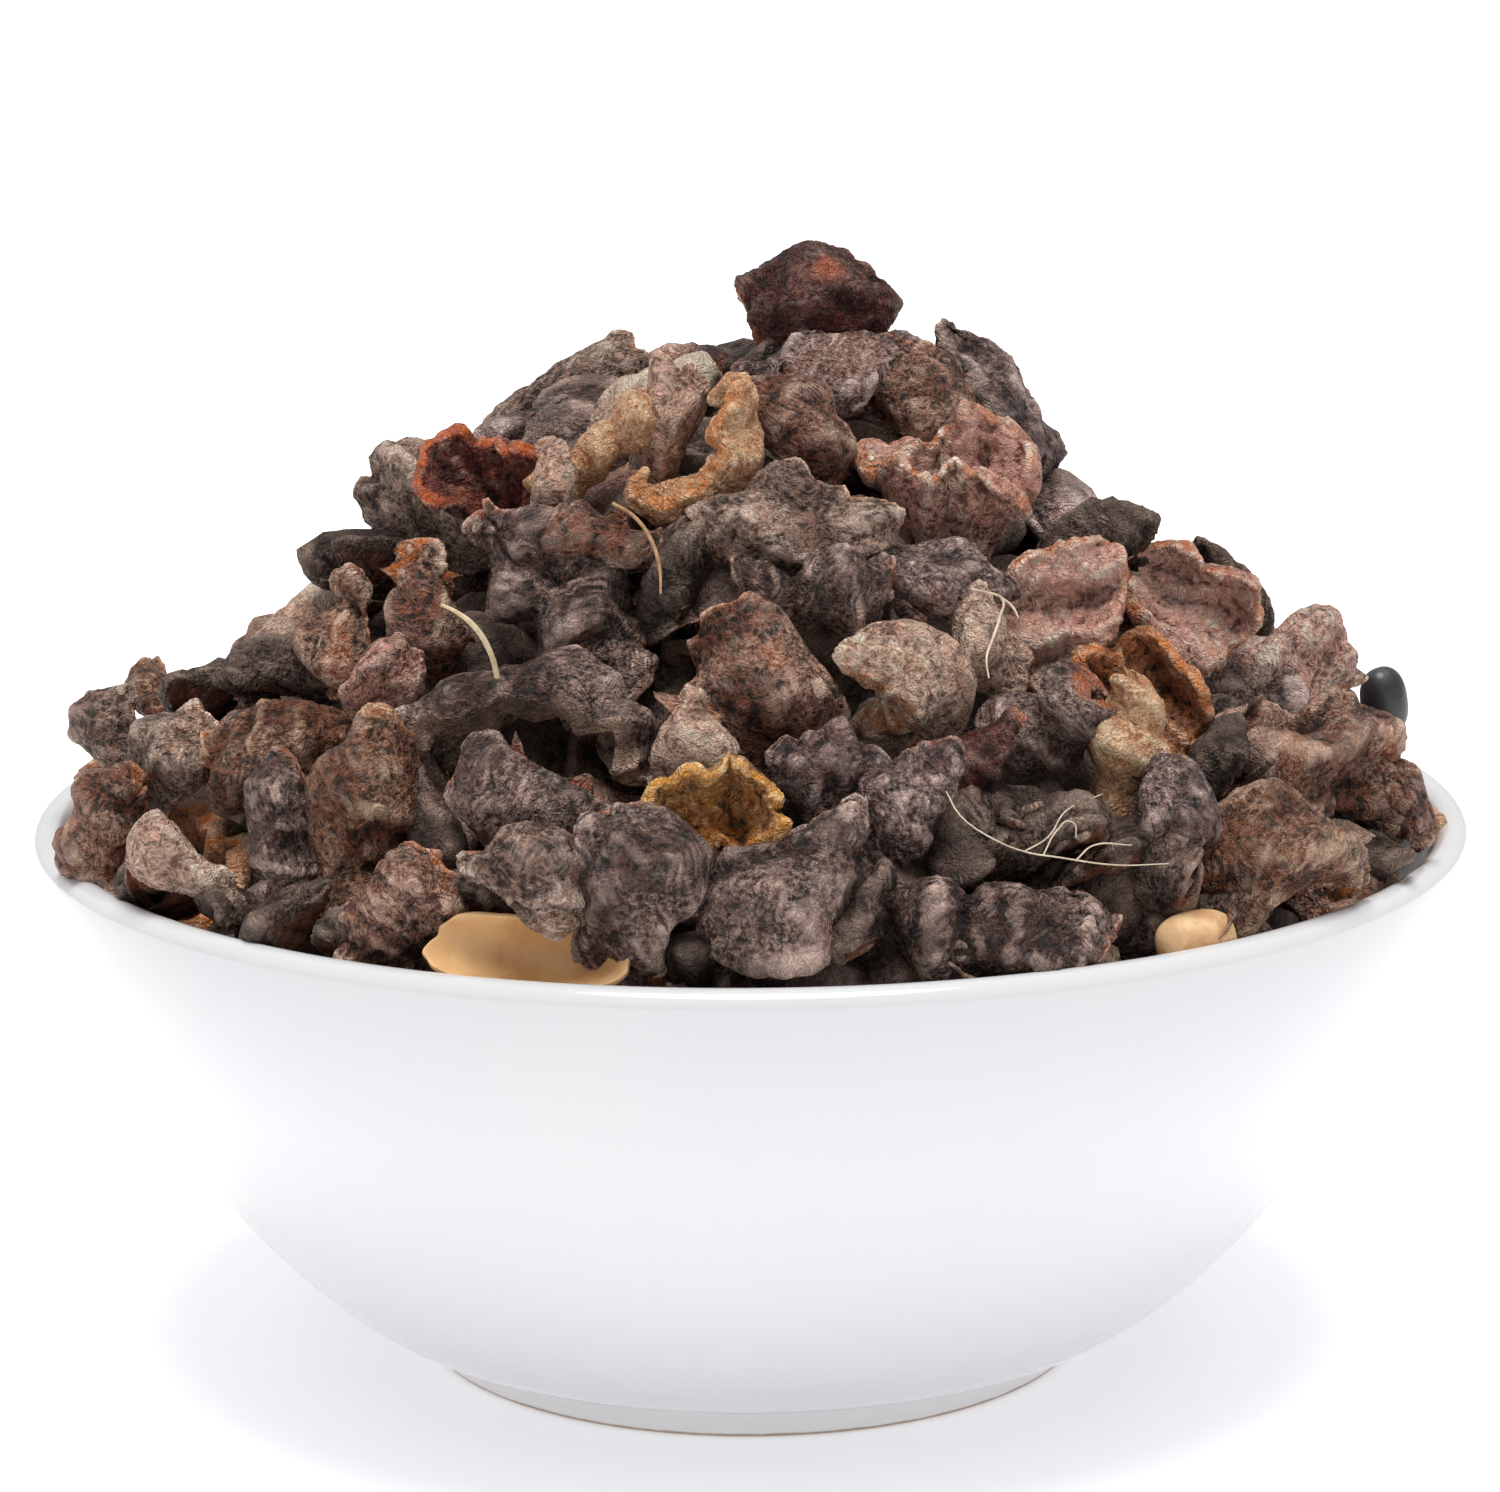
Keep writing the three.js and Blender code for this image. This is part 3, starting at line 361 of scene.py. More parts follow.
# The heap and its drawn pieces, in millimetres, radians and shares
LIP_RADIUS = 60.0
BOWL_HEIGHT = 46.0
HEAP_RADIUS = 57.5
CREST_RISE, CREST_SPREAD, CREST_POWER = 32, 34, 3.6
EDGE_RISE, EDGE_POWER = 6, 6
HALVINGS = 40
SLOPE_RUN = 1.0
GOLDEN_ANGLE = 2.399963
FRONT_LOOK = np.array([0.0, -0.975, 0.22])
CLOSE_UP = 1.1
OUTLINE_POWER = 2.5
OUTLINE_LOBES = ((2, 0.5), (3, 0.6), (5, 0.3))
TORN_LOBES = ((7, 0.3), (12, 0.2), (19, 0.1))
CREASE_ANGLES = (0.9, 2.2)
NEAR_SHIFT, FAR_SHIFT, FAR_DEPTH = 0.4, 0.5, 0.7
CRUMPLES = ((9.5, 0.98), (5.3, 0.6), (3.0, 0.3), (1.8, 0.12))
CRUMPLE_SWAY = 0.45
BEND_SHARE, BEND_RATE = 0.3, 1.4
FADE_SHARE, FADE_SIDE, FADE_FORWARD = 0.35, 1.1, 2.0
FULL_CRUMPLE_HALF = 5.0
SWELL_SHARE, SWELL_ALONG, SWELL_ACROSS = 1.6, 2.6, 1.9
FOLD_SLANT = 0.8
KNOB_SHARE, KNOB_RATES = 0.02, (0.9, 0.9, 0.8)
FLESH_EDGE = (-0.1, 0.35)
RIM_BAND = 0.2
PATTERN_APART = 60.0
WIDTH_SHARES = (0.6, 0.8)
THICKNESS_SHARES = (0.42, 0.58)
SWING = (-35, 35)
TILT = (-30, 25)
DRAWN_FORMS = (Form.LUMP, Form.FLAKE, Form.LOG, Form.LUMP, Form.CUP, Form.ARCH)
DRAWN_TONES = (
    Tone.SLATE, Tone.UMBER, Tone.DUSK, Tone.OLIVE, Tone.SLATE, Tone.PINK, Tone.UMBER, Tone.AMBER,
    Tone.SLATE, Tone.DUSK, Tone.PALE, Tone.UMBER, Tone.OLIVE, Tone.TAN, Tone.SLATE, Tone.RED,
)


def heap_rise(radius: float) -> float:
    """Height of the heap's surface above the lip at a distance from the middle, in millimetres."""
    crest = CREST_RISE / (1 + (radius / CREST_SPREAD) ** CREST_POWER)
    return crest + EDGE_RISE * (1 - (radius / LIP_RADIUS) ** EDGE_POWER)


def heap_radius(rise: float) -> float:
    """Distance from the middle at which the heap's surface has a given rise.

    Args:
        rise: Height above the lip, in millimetres.

    Returns:
        The distance, in millimetres.
    """
    inner, outer = 0.0, HEAP_RADIUS
    for _ in range(HALVINGS):
        middle = (inner + outer) / 2
        if heap_rise(middle) > rise:
            inner = middle
        else:
            outer = middle
    return (inner + outer) / 2


def roll(along: np.ndarray, height: np.ndarray, half: float, whole: float) -> tuple[np.ndarray, np.ndarray]:
    """Rolls points of a sheet through a whole angle.

    Args:
        along: Distance along the direction that is rolled.
        height: Height off the sheet.
        half: Half the sheet's size in that direction.
        whole: The whole angle in degrees.

    Returns:
        The two coordinates after rolling.
    """
    if whole == 0:
        return along, height
    radius = 2 * half / math.radians(whole)
    angle = along / radius
    return (radius + height) * np.sin(angle), (radius + height) * np.cos(angle) - radius


def creases(along: np.ndarray, across: np.ndarray, depth: float, seed: int) -> np.ndarray:
    """Two sharp creases that cross a sheet at drawn angles.

    Args:
        along: Place along the sheet, from -1 to 1.
        across: Place across the sheet, from -1 to 1.
        depth: How sharply the sheet falls from a crease.
        seed: The piece's seed.

    Returns:
        The depth below the sheet, as a share of half its width.
    """
    first = math.pi * draw(seed, Draw.CREASE)
    second = first + between(seed, Draw.CROSSING, *CREASE_ANGLES)
    near_by = between(seed, Draw.NEAR_CREASE, -NEAR_SHIFT, NEAR_SHIFT)
    far_by = between(seed, Draw.FAR_CREASE, -FAR_SHIFT, FAR_SHIFT)
    near = np.abs(along * math.cos(first) + across * math.sin(first) - near_by)
    far = np.abs(along * math.cos(second) + across * math.sin(second) - far_by)
    return depth * (near + FAR_DEPTH * far)


def zigzag(run: np.ndarray) -> np.ndarray:
    """A wave of straight slopes between -1 and 1, once for each whole step of its run."""
    return 4 * np.abs(run - np.floor(run) - 0.5) - 1


def crumple(along: np.ndarray, across: np.ndarray, seed: int) -> np.ndarray:
    """Flat facets and sharp creases, as in crumpled leather.

    Args:
        along: Place along the sheet, in millimetres.
        across: Place across the sheet, in millimetres.
        seed: The piece's seed.

    Returns:
        The height off the sheet, in millimetres.
    """
    height = np.zeros_like(along)
    lie = phase(seed, Draw.LIE)
    for step, (length, depth) in enumerate(CRUMPLES):
        turn = lie + between(seed, Draw.SWAY + step, -CRUMPLE_SWAY, CRUMPLE_SWAY)
        forward = (along * math.cos(turn) + across * math.sin(turn)) / length
        side = (across * math.cos(turn) - along * math.sin(turn)) / length
        bend = BEND_SHARE * np.sin(BEND_RATE * side + phase(seed, Draw.BEND + step))
        faded = np.sin(FADE_SIDE * side + FADE_FORWARD * forward + phase(seed, Draw.FADE + step))
        wave = zigzag(forward + draw(seed, Draw.SHIFT + step) + bend)
        height += depth * (1 - FADE_SHARE + FADE_SHARE * faded) * wave
    return height


def outline_reach(around: np.ndarray, ruffle: float, seed: int) -> np.ndarray:
    """How far a sheet's torn outline reaches.

    Args:
        around: The angle round the sheet.
        ruffle: How ragged the outline is.
        seed: The piece's seed.

    Returns:
        The reach, as a share of half its size.
    """
    corner = np.abs(np.cos(around)) ** OUTLINE_POWER + np.abs(np.sin(around)) ** OUTLINE_POWER
    ragged = np.zeros_like(around)
    for step, (lobes, share) in enumerate(OUTLINE_LOBES):
        ragged += share * np.cos(lobes * around + phase(seed, Draw.OUTLINE + step))
    for step, (lobes, share) in enumerate(TORN_LOBES):
        ragged += share * zigzag(lobes * around / math.tau + draw(seed, Draw.TEAR + step))
    return corner ** (-1 / OUTLINE_POWER) * (1 + ruffle * ragged)


def smooth_step(low: float, high: float, values: np.ndarray) -> np.ndarray:
    """A smooth rise from 0 to 1 between two values."""
    share = np.clip((values - low) / (high - low), 0, 1)
    return share * share * (3 - 2 * share)


def piece_axes(face: Pair, turn: float) -> np.ndarray:
    """The turned frame of a piece.

    Args:
        face: The way its outer side looks, to the right and then up, in degrees.
        turn: How its long side is tipped, in degrees.

    Returns:
        Rows with its long, wide and outward directions.
    """
    azimuth, elevation, tip = math.radians(face[0]), math.radians(face[1]), math.radians(turn)
    level = np.array([math.cos(azimuth), math.sin(azimuth), 0.0])
    forward = np.array([math.sin(azimuth), -math.cos(azimuth), 0.0])
    out = forward * math.cos(elevation) + np.array([0.0, 0.0, math.sin(elevation)])
    rise = np.cross(out, level)
    long = level * math.cos(tip) + rise * math.sin(tip)
    return np.array([long, np.cross(out, long), out])


@dataclass
class Skin:
    """A closed surface of points in millimetres, with what its finish follows.

    local runs along the sheet, flesh is 1 on the hollow side and rim is 1 at the torn edge.
    """

    points: np.ndarray
    quads: np.ndarray
    local: np.ndarray
    flesh: np.ndarray
    rim: np.ndarray

    @staticmethod
    def joined(parts: "list[Skin]") -> "Skin":
        """Several surfaces as one.

        Args:
            parts: The surfaces.

        Returns:
            One surface that holds them all.
        """
        starts = np.cumsum([0] + [len(part.points) for part in parts[:-1]])
        moved = [replace(part, quads=part.quads + start) for part, start in zip(parts, starts)]
        return Skin(*(np.concatenate([getattr(part, kept.name) for part in moved]) for kept in fields(Skin)))

    def mesh(self, name: str) -> bpy.types.Mesh:
        """The surface as a mesh in metres, with its attributes.

        Args:
            name: The mesh's name.

        Returns:
            The new mesh.
        """
        mesh = bpy.data.meshes.new(name)
        mesh.vertices.add(len(self.points))
        mesh.vertices.foreach_set("co", (self.points * MM).astype(np.float32).ravel())
        sides = self.quads.shape[1]
        mesh.loops.add(self.quads.size)
        mesh.loops.foreach_set("vertex_index", self.quads.astype(np.int32).ravel())
        mesh.polygons.add(len(self.quads))
        mesh.polygons.foreach_set("loop_start", np.arange(0, self.quads.size, sides, dtype=np.int32))
        mesh.update(calc_edges=True)
        mesh.polygons.foreach_set("use_smooth", np.ones(len(self.quads), dtype=bool))
        local = mesh.attributes.new("local", "FLOAT_VECTOR", "POINT")
        local.data.foreach_set("vector", self.local.astype(np.float32).ravel())
        for label, values in (("flesh", self.flesh), ("rim", self.rim)):
            layer = mesh.attributes.new(label, "FLOAT", "POINT")
            layer.data.foreach_set("value", values.astype(np.float32))
        mesh.validate()
        return mesh


def ball(cuts: int) -> tuple[np.ndarray, np.ndarray]:
    """A unit ball made of the six sides of a cube.

    Args:
        cuts: How many squares a side has each way.

    Returns:
        Its points, and its quads facing out.
    """
    steps = np.tan(np.linspace(-1, 1, cuts + 1) * math.pi / 4)
    u, v = np.meshgrid(steps, steps, indexing="ij")
    index = np.arange((cuts + 1) ** 2).reshape(cuts + 1, cuts + 1)
    corners = (index[:-1, :-1], index[1:, :-1], index[1:, 1:], index[:-1, 1:])
    square = np.stack(corners, axis=-1).reshape(-1, 4)
    points, quads = [], []
    for axis in range(3):
        for sign in (-1, 1):
            side = np.zeros((cuts + 1, cuts + 1, 3))
            side[..., axis] = sign
            side[..., (axis + 1) % 3] = u
            side[..., (axis + 2) % 3] = v
            quads.append((square if sign > 0 else square[:, ::-1]) + len(points) * (cuts + 1) ** 2)
            points.append(side.reshape(-1, 3))
    every = np.concatenate(points)
    _, first, same = np.unique(np.round(every, 6), axis=0, return_index=True, return_inverse=True)
    kept = every[first]
    return kept / np.linalg.norm(kept, axis=1, keepdims=True), same.reshape(-1)[np.concatenate(quads)]


@dataclass
class PieceMaker:
    """Shapes dried pieces from balls of points.

    wall holds rows of height and radius of the bowl's inner wall, going up, in millimetres.
    """

    wall: np.ndarray
    balls: dict[int, tuple[np.ndarray, np.ndarray]] = field(default_factory=dict)

    def _inside(self, points: np.ndarray) -> np.ndarray:
        """Presses points back to the bowl's inner wall where they would pass it.

        Args:
            points: The points, in millimetres.

        Returns:
            The points within the bowl.
        """
        reach = np.interp(points[:, 2], self.wall[:, 0], self.wall[:, 1])
        radius = np.maximum(np.hypot(points[:, 0], points[:, 1]), 1.0)
        return points * np.stack([np.minimum(1, reach / radius)] * 2 + [np.ones_like(radius)], axis=1)

    def _ball(self, cuts: int) -> tuple[np.ndarray, np.ndarray]:
        """A unit ball, made once for each number of cuts.

        Args:
            cuts: How finely it is cut.

        Returns:
            Its points and its quads.
        """
        if cuts not in self.balls:
            self.balls[cuts] = ball(cuts)
        return self.balls[cuts]

    @staticmethod
    def _sheet_points(
        ways: np.ndarray, form: Sheet, half_long: float, half_wide: float, seed: int
    ) -> np.ndarray:
        """Moves the directions of a ball onto a dried sheet.

        Args:
            ways: Directions out of the piece's middle.
            form: The piece's form.
            half_long: Half its length.
            half_wide: Half its width.
            seed: The piece's seed.

        Returns:
            The points, in the sheet's own frame.
        """
        reach = outline_reach(np.arctan2(ways[:, 1], ways[:, 0]), form.ruffle, seed)
        along, across, up = ways[:, 0] * reach, ways[:, 1] * reach, ways[:, 2]
        rolling = np.sin(SWELL_ALONG * along + SWELL_ACROSS * across + phase(seed, Draw.SWELL))
        swell = 1 + SWELL_SHARE * form.wave * rolling
        half = np.sign(up) * np.abs(up) ** form.edge * form.sheet * swell
        slant = math.pi * form.folds * along + FOLD_SLANT * across
        fold = form.wave * np.cos(slant + phase(seed, Draw.FOLD))
        rib = form.wave * np.cos(math.pi * form.ribs * across + phase(seed, Draw.RIB))
        x, y = along * half_long, across * half_wide
        z = (half + fold + rib - creases(along, across, form.crease, seed)) * half_wide
        if form.wave > 0:
            z += crumple(x, y, seed) * min(1.0, half_wide / FULL_CRUMPLE_HALF)
        y, z = roll(y, z, half_wide, form.curl)
        x, z = roll(x, z, half_long, form.bend)
        twist = math.radians(form.twist) * along * (-1 if draw(seed, Draw.TWIST) < 0.5 else 1)
        y, z = y * np.cos(twist) - z * np.sin(twist), y * np.sin(twist) + z * np.cos(twist)
        knob = KNOB_SHARE * half_wide if form.wave > 0 else 0.0
        knobs = [
            knob * np.sin(rate * beside + phase(seed, Draw.KNOB + step))
            for step, (rate, beside) in enumerate(zip(KNOB_RATES, (y, z, x)))
        ]
        return np.stack([x, y, z], axis=1) + np.stack(knobs, axis=1)

    def shape(
        self, piece: Piece, seed: int, cuts: int, spot: np.ndarray, toward: np.ndarray, grow: float
    ) -> Skin:
        """One piece, sized, turned and set against the heap's surface.

        Args:
            piece: What it is.
            seed: Its seed.
            cuts: How finely it is cut.
            spot: Where its nearest point lies, in millimetres.
            toward: The way that counts as near.
            grow: How much larger than listed it is.

        Returns:
            Its surface.
        """
        ways, quads = self._ball(cuts)
        form = piece.sheet()
        size = np.array(piece.size) * grow
        points = self._sheet_points(ways, form, size[0] / 2, size[1] / 2, seed)
        low, high = points.min(axis=0), points.max(axis=0)
        boxed = (points - (low + high) / 2) * size / (high - low)
        axes = piece_axes(piece.face, piece.turn)
        turned = boxed @ (axes[[0, 2, 1]] if piece.edge_on else axes)
        nearest = float((turned @ toward).max())
        placed = self._inside(turned + spot + toward * (piece.out - nearest))
        first, *others = (placed[quads[:, corner]] for corner in range(4))
        volume = sum(
            np.einsum("ij,ij->", first, np.cross(others[k], others[k + 1])) for k in range(len(others) - 1)
        )
        hollow = -1.0 if form.curl >= 0 else 1.0
        away = np.array([between(seed, Draw.APART + k, -PATTERN_APART, PATTERN_APART) for k in range(3)])
        return Skin(
            placed,
            quads[:, ::-1] if volume < 0 else quads,
            placed + away,
            smooth_step(*FLESH_EDGE, hollow * ways[:, 2]),
            np.exp(-((ways[:, 2] / RIM_BAND) ** 2)),
        )


def front_spot(across: float, rise: float, out: float = 0.0) -> np.ndarray:
    """A place on the front of the heap's surface, in millimetres.

    Args:
        across: Distance right of the middle.
        rise: Height above the lip.
        out: Distance out from the surface.

    Returns:
        The place.
    """
    radius = heap_radius(rise)
    depth = -math.sqrt(max(0.0, radius * radius - across * across))
    return np.array([across, depth, BOWL_HEIGHT + rise]) + out * FRONT_LOOK


@dataclass(frozen=True)
class Scatter:
    """A set of unlisted pieces: how many, how far out, how long, how deep, and their first seed."""

    count: int
    radius: float
    lengths: Pair
    sink: float
    front_sink: float
    front_above: float
    seed: int
    start: float = 0.0
    level: float | None = None


@dataclass
class Heap:
    """The heap of dried pieces: the listed ones and the ones set by rule."""

    maker: PieceMaker
    slope: Scatter = Scatter(56, 47, (13.5, 20), 0.5, 6.0, 0.2, 100)
    ring: Scatter = Scatter(20, 53.5, (14, 19), 0.0, 4.0, 0.6, 300, level=4.0)
    fill: Scatter = Scatter(96, 53, (13, 18), 5.0, 5.0, 0.0, 400, start=1.2)

    def on_front(self, piece: Piece, seed: int, cuts: int) -> Skin:
        """A piece set on the front of the heap's surface, or further back where it says so.

        Args:
            piece: What it is.
            seed: Its seed.
            cuts: How finely it is cut.

        Returns:
            Its surface.
        """
        spot = front_spot(*piece.at)
        if piece.back is not None:
            spot[1] = piece.back
        return self.maker.shape(piece, seed, cuts, spot, FRONT_LOOK, 1.0 if piece.smooth() else CLOSE_UP)

    def drawn(
        self, seed: int, around: float, radius: float, rise: float, lengths: Pair, sink: float, cuts: int
    ) -> tuple[Tone, Skin]:
        """One unlisted piece: its draws give size, form, shade and lie.

        Args:
            seed: Its seed.
            around: Its bearing from the front, in radians.
            radius: Its distance from the middle.
            rise: Its height above the lip.
            lengths: The least and greatest length.
            sink: How deep it is sunk.
            cuts: How finely it is cut.

        Returns:
            Its shade and its surface.
        """
        outward = np.array([math.sin(around), -math.cos(around), 0.0])
        near, far = radius - SLOPE_RUN / 2, radius + SLOPE_RUN / 2
        steepness = math.atan((heap_rise(near) - heap_rise(far)) / SLOPE_RUN)
        normal = np.array([0.0, 0.0, math.cos(steepness)]) + outward * math.sin(steepness)
        length = between(seed, Draw.LENGTH, *lengths)
        width = length * between(seed, Draw.WIDTH, *WIDTH_SHARES)
        thickness = length * between(seed, Draw.THICKNESS, *THICKNESS_SHARES)
        face = (
            math.degrees(around) + between(seed, Draw.SWING, *SWING),
            90 - math.degrees(steepness) + between(seed, Draw.TILT, *TILT),
        )
        form = DRAWN_FORMS[int(draw(seed, Draw.FORM) * len(DRAWN_FORMS))]
        tone = DRAWN_TONES[int(draw(seed, Draw.TONE) * len(DRAWN_TONES))]
        turn = between(seed, Draw.TURN, 0, 180)
        piece = Piece("drawn", (0, 0), face, turn, (length, width, thickness), form, tone, out=-sink)
        spot = outward * radius + np.array([0.0, 0.0, BOWL_HEIGHT + rise])
        return tone, self.maker.shape(piece, seed, cuts, spot, normal, 1.0)

    def scattered(self, scatter: Scatter, cuts: int) -> list[tuple[Tone, Skin]]:
        """A set of unlisted pieces, over the whole heap or at one level round it.

        Args:
            scatter: The set.
            cuts: How finely each is cut.

        Returns:
            The shade and surface of each.
        """
        pieces = []
        for index in range(scatter.count):
            share = (index + 0.5) / scatter.count
            if scatter.level is None:
                around = index * GOLDEN_ANGLE + scatter.start
                radius = scatter.radius * math.sqrt(share)
                rise = heap_rise(radius)
            else:
                around, radius, rise = share * math.tau, scatter.radius, scatter.level
            sink = scatter.front_sink if math.cos(around) > scatter.front_above else scatter.sink
            seed = scatter.seed + index
            pieces.append(self.drawn(seed, around, radius, rise, scatter.lengths, sink, cuts))
        return pieces


# Node trees


class Noise(Enum):
    """Noises in fruit: scale to a millimetre, detail, roughness and distortion."""

    BROAD = (0.16, 1, 0.5, 0.4)
    BLOTCH = (0.45, 4, 0.65, 0.5)
    GRAIN = (2.1, 4, 0.75)
    VEINS = (0.85, 3, 0.62, 0.7)
    HAIRLINE = (2.4, 2, 0.6, 0.5)
    CRINKLE_BEND = (0.8, 2, 0.6)
    PUCKER = (0.5, 3, 0.55, 0.3)


class Graph:
    """Short hands for building a node tree."""

    FOLD_STEEPNESS = 4.0

    def __init__(self, tree: bpy.types.NodeTree) -> None:
        """Keeps the tree that nodes go into.

        Args:
            tree: The tree.
        """
        self.tree = tree

    def add(self, kind: str, *, values: dict | None = None, **settings: object) -> bpy.types.Node:
        """Adds a node.

        Args:
            kind: Its type's name.
            values: Socket names or numbers, with a value or an output socket for each.
            **settings: The node's own settings.

        Returns:
            The new node.
        """
        node = self.tree.nodes.new(kind)
        for key, value in settings.items():
            setattr(node, key, value)
        for key, value in (values or {}).items():
            if isinstance(value, bpy.types.NodeSocket):
                self.tree.links.new(value, node.inputs[key])
            else:
                node.inputs[key].default_value = value
        return node

    def math(
        self, how: str, first: object, second: object = 0.0, clamp: bool = False
    ) -> bpy.types.NodeSocket:
        """The output of a Math node on one or two values."""
        node = self.add("ShaderNodeMath", values={0: first, 1: second}, operation=how, use_clamp=clamp)
        return node.outputs[0]

    def plus(self, first: object, second: object, clamp: bool = False) -> bpy.types.NodeSocket:
        """The sum of two values."""
        return self.math("ADD", first, second, clamp)

    def minus(self, first: object, second: object, clamp: bool = False) -> bpy.types.NodeSocket:
        """The difference of two values."""
        return self.math("SUBTRACT", first, second, clamp)

    def times(self, first: object, second: object, clamp: bool = False) -> bpy.types.NodeSocket:
        """The product of two values."""
        return self.math("MULTIPLY", first, second, clamp)

    def weighed(self, *parts: tuple[object, float]) -> bpy.types.NodeSocket:
        """The sum of values, each times its share.

        Args:
            *parts: Pairs of a value and its share.

        Returns:
            The output of the last sum.
        """
        total = self.times(*parts[0])
        for part in parts[1:]:
            total = self.plus(total, self.times(*part))
        return total

    def step(
        self, value: object, low: float, high: float, start: float = 0.0, end: float = 1.0
    ) -> bpy.types.NodeSocket:
        """A smooth step.

        Args:
            value: What it follows.
            low: The value at which it starts.
            high: The value at which it ends.
            start: Its output at the start.
            end: Its output at the end.

        Returns:
            The output socket.
        """
        node = self.add(
            "ShaderNodeMapRange",
            values={"Value": value, "From Min": low, "From Max": high, "To Min": start, "To Max": end},
            interpolation_type="SMOOTHSTEP",
        )
        return node.outputs["Result"]

    def noise(self, place: object, kind: tuple[float, ...]) -> bpy.types.Node:
        """A Noise Texture node.

        Args:
            place: The place it reads.
            kind: Its scale, detail and roughness, and its distortion where it has any.

        Returns:
            The node.
        """
        labels = ("Scale", "Detail", "Roughness", "Distortion")
        return self.add("ShaderNodeTexNoise", values={"Vector": place, **dict(zip(labels, kind))})

    def level(self, place: object, kind: tuple[float, ...]) -> bpy.types.NodeSocket:
        """The grey output of a noise."""
        return self.noise(place, kind).outputs[0]

    def folds(self, level: object, power: float) -> bpy.types.NodeSocket:
        """Thin raised folds where a noise passes its middle."""
        off = self.times(self.math("ABSOLUTE", self.minus(level, 0.5)), self.FOLD_STEEPNESS)
        return self.math("POWER", self.minus(1.0, off, clamp=True), power)

    def mix(self, share: object, first: object, second: object) -> bpy.types.NodeSocket:
        """The output of a colour mix."""
        return self.add("ShaderNodeMix", values={0: share, 6: first, 7: second}, data_type="RGBA").outputs[2]

    def bump(self, height: object, strength: float, distance: float) -> bpy.types.NodeSocket:
        """The normal of a bump."""
        values = {"Strength": strength, "Distance": distance, "Height": height}
        return self.add("ShaderNodeBump", values=values).outputs[0]

    def millimetres(self) -> bpy.types.NodeSocket:
        """The place on the piece.

        Returns:
            Its socket, in millimetres.
        """
        where = self.add("ShaderNodeTexCoord").outputs["Object"]
        values = {"Vector": where, "Scale": (1 / MM, 1 / MM, 1 / MM)}
        return self.add("ShaderNodeMapping", values=values).outputs[0]

    def end_shape(self, shape: bpy.types.NodeSocket, finish: bpy.types.NodeSocket) -> None:
        """Ends a shaping tree with real geometry that has its material.

        Args:
            shape: The geometry.
            finish: The material's socket.
        """
        whole = self.add("GeometryNodeRealizeInstances", values={"Geometry": shape}).outputs[0]
        dressed = self.add("GeometryNodeSetMaterial", values={"Geometry": whole, "Material": finish})
        self.add("NodeGroupOutput", values={"Geometry": dressed.outputs[0]})


def shaping_tree(name: str, inputs: dict[str, float | int | None]) -> bpy.types.GeometryNodeTree:
    """An empty geometry tree with its named inputs.

    Args:
        name: The tree's name.
        inputs: A default for each number, and None for a material.

    Returns:
        The tree.
    """
    tree = bpy.data.node_groups.new(name, "GeometryNodeTree")
    for way in ("INPUT", "OUTPUT"):
        tree.interface.new_socket("Geometry", in_out=way, socket_type="NodeSocketGeometry")
    kinds = {float: "NodeSocketFloat", int: "NodeSocketInt", type(None): "NodeSocketMaterial"}
    for label, default in inputs.items():
        socket = tree.interface.new_socket(label, in_out="INPUT", socket_type=kinds[type(default)])
        if default is not None:
            socket.default_value = default
    return tree


def grown(
    tree: bpy.types.GeometryNodeTree, piece: bpy.types.Object, values: dict[str, object]
) -> bpy.types.Mesh:
    """Runs a node tree on an object.

    Args:
        tree: The tree, with named inputs.
        piece: The object that it changes.
        values: A value for each named input.

    Returns:
        The result as a plain mesh.
    """
    modifier = piece.modifiers.new(tree.name, "NODES")
    modifier.node_group = tree
    for item in tree.interface.items_tree:
        if item.in_out == "INPUT" and item.name in values:
            modifier[item.identifier] = values[item.name]
    view = bpy.context.evaluated_depsgraph_get()
    shown = piece.evaluated_get(view)
    return bpy.data.meshes.new_from_object(shown, preserve_all_data_layers=True, depsgraph=view)


def new_object(name: str, data: bpy.types.ID) -> bpy.types.Object:
    """An object at the origin, linked to the scene.

    Args:
        name: Its name.
        data: Its mesh, curve, light or camera.

    Returns:
        The object.
    """
    made = bpy.data.objects.new(name, data)
    bpy.context.scene.collection.objects.link(made)
    return made


class Crinkle:
    """The nets of crinkles in dried skin, a wide one and a fine one."""

    BEND = 2.4
    WIDE, FINE = 0.42, 1.05
    SHARPNESS = 2.4

    def __init__(self, graph: Graph, place: object) -> None:
        """Adds the nodes that find them.

        Args:
            graph: The tree they go into.
            place: A place in the piece, in millimetres.
        """
        bend = graph.noise(place, Noise.CRINKLE_BEND.value).outputs["Color"]
        more = graph.add("ShaderNodeVectorMath", values={0: bend, "Scale": self.BEND}, operation="SCALE")
        bent = graph.add("ShaderNodeVectorMath", values={0: place, 1: more.outputs[0]}, operation="ADD")
        self.wide, self.fine = (self._net(graph, bent.outputs[0], scale) for scale in (self.WIDE, self.FINE))

    def _net(self, graph: Graph, bent: object, scale: float) -> bpy.types.NodeSocket:
        """Nearness to a net of creases.

        Args:
            graph: The tree it goes into.
            bent: The bent place that it reads.
            scale: How many cells it has to a millimetre.

        Returns:
            A socket that rises from 0 inside the cells to 1 on the net.
        """
        cells = graph.add(
            "ShaderNodeTexVoronoi", values={"Vector": bent, "Scale": scale}, feature="DISTANCE_TO_EDGE"
        )
        return graph.minus(1.0, graph.times(cells.outputs["Distance"], self.SHARPNESS), clamp=True)


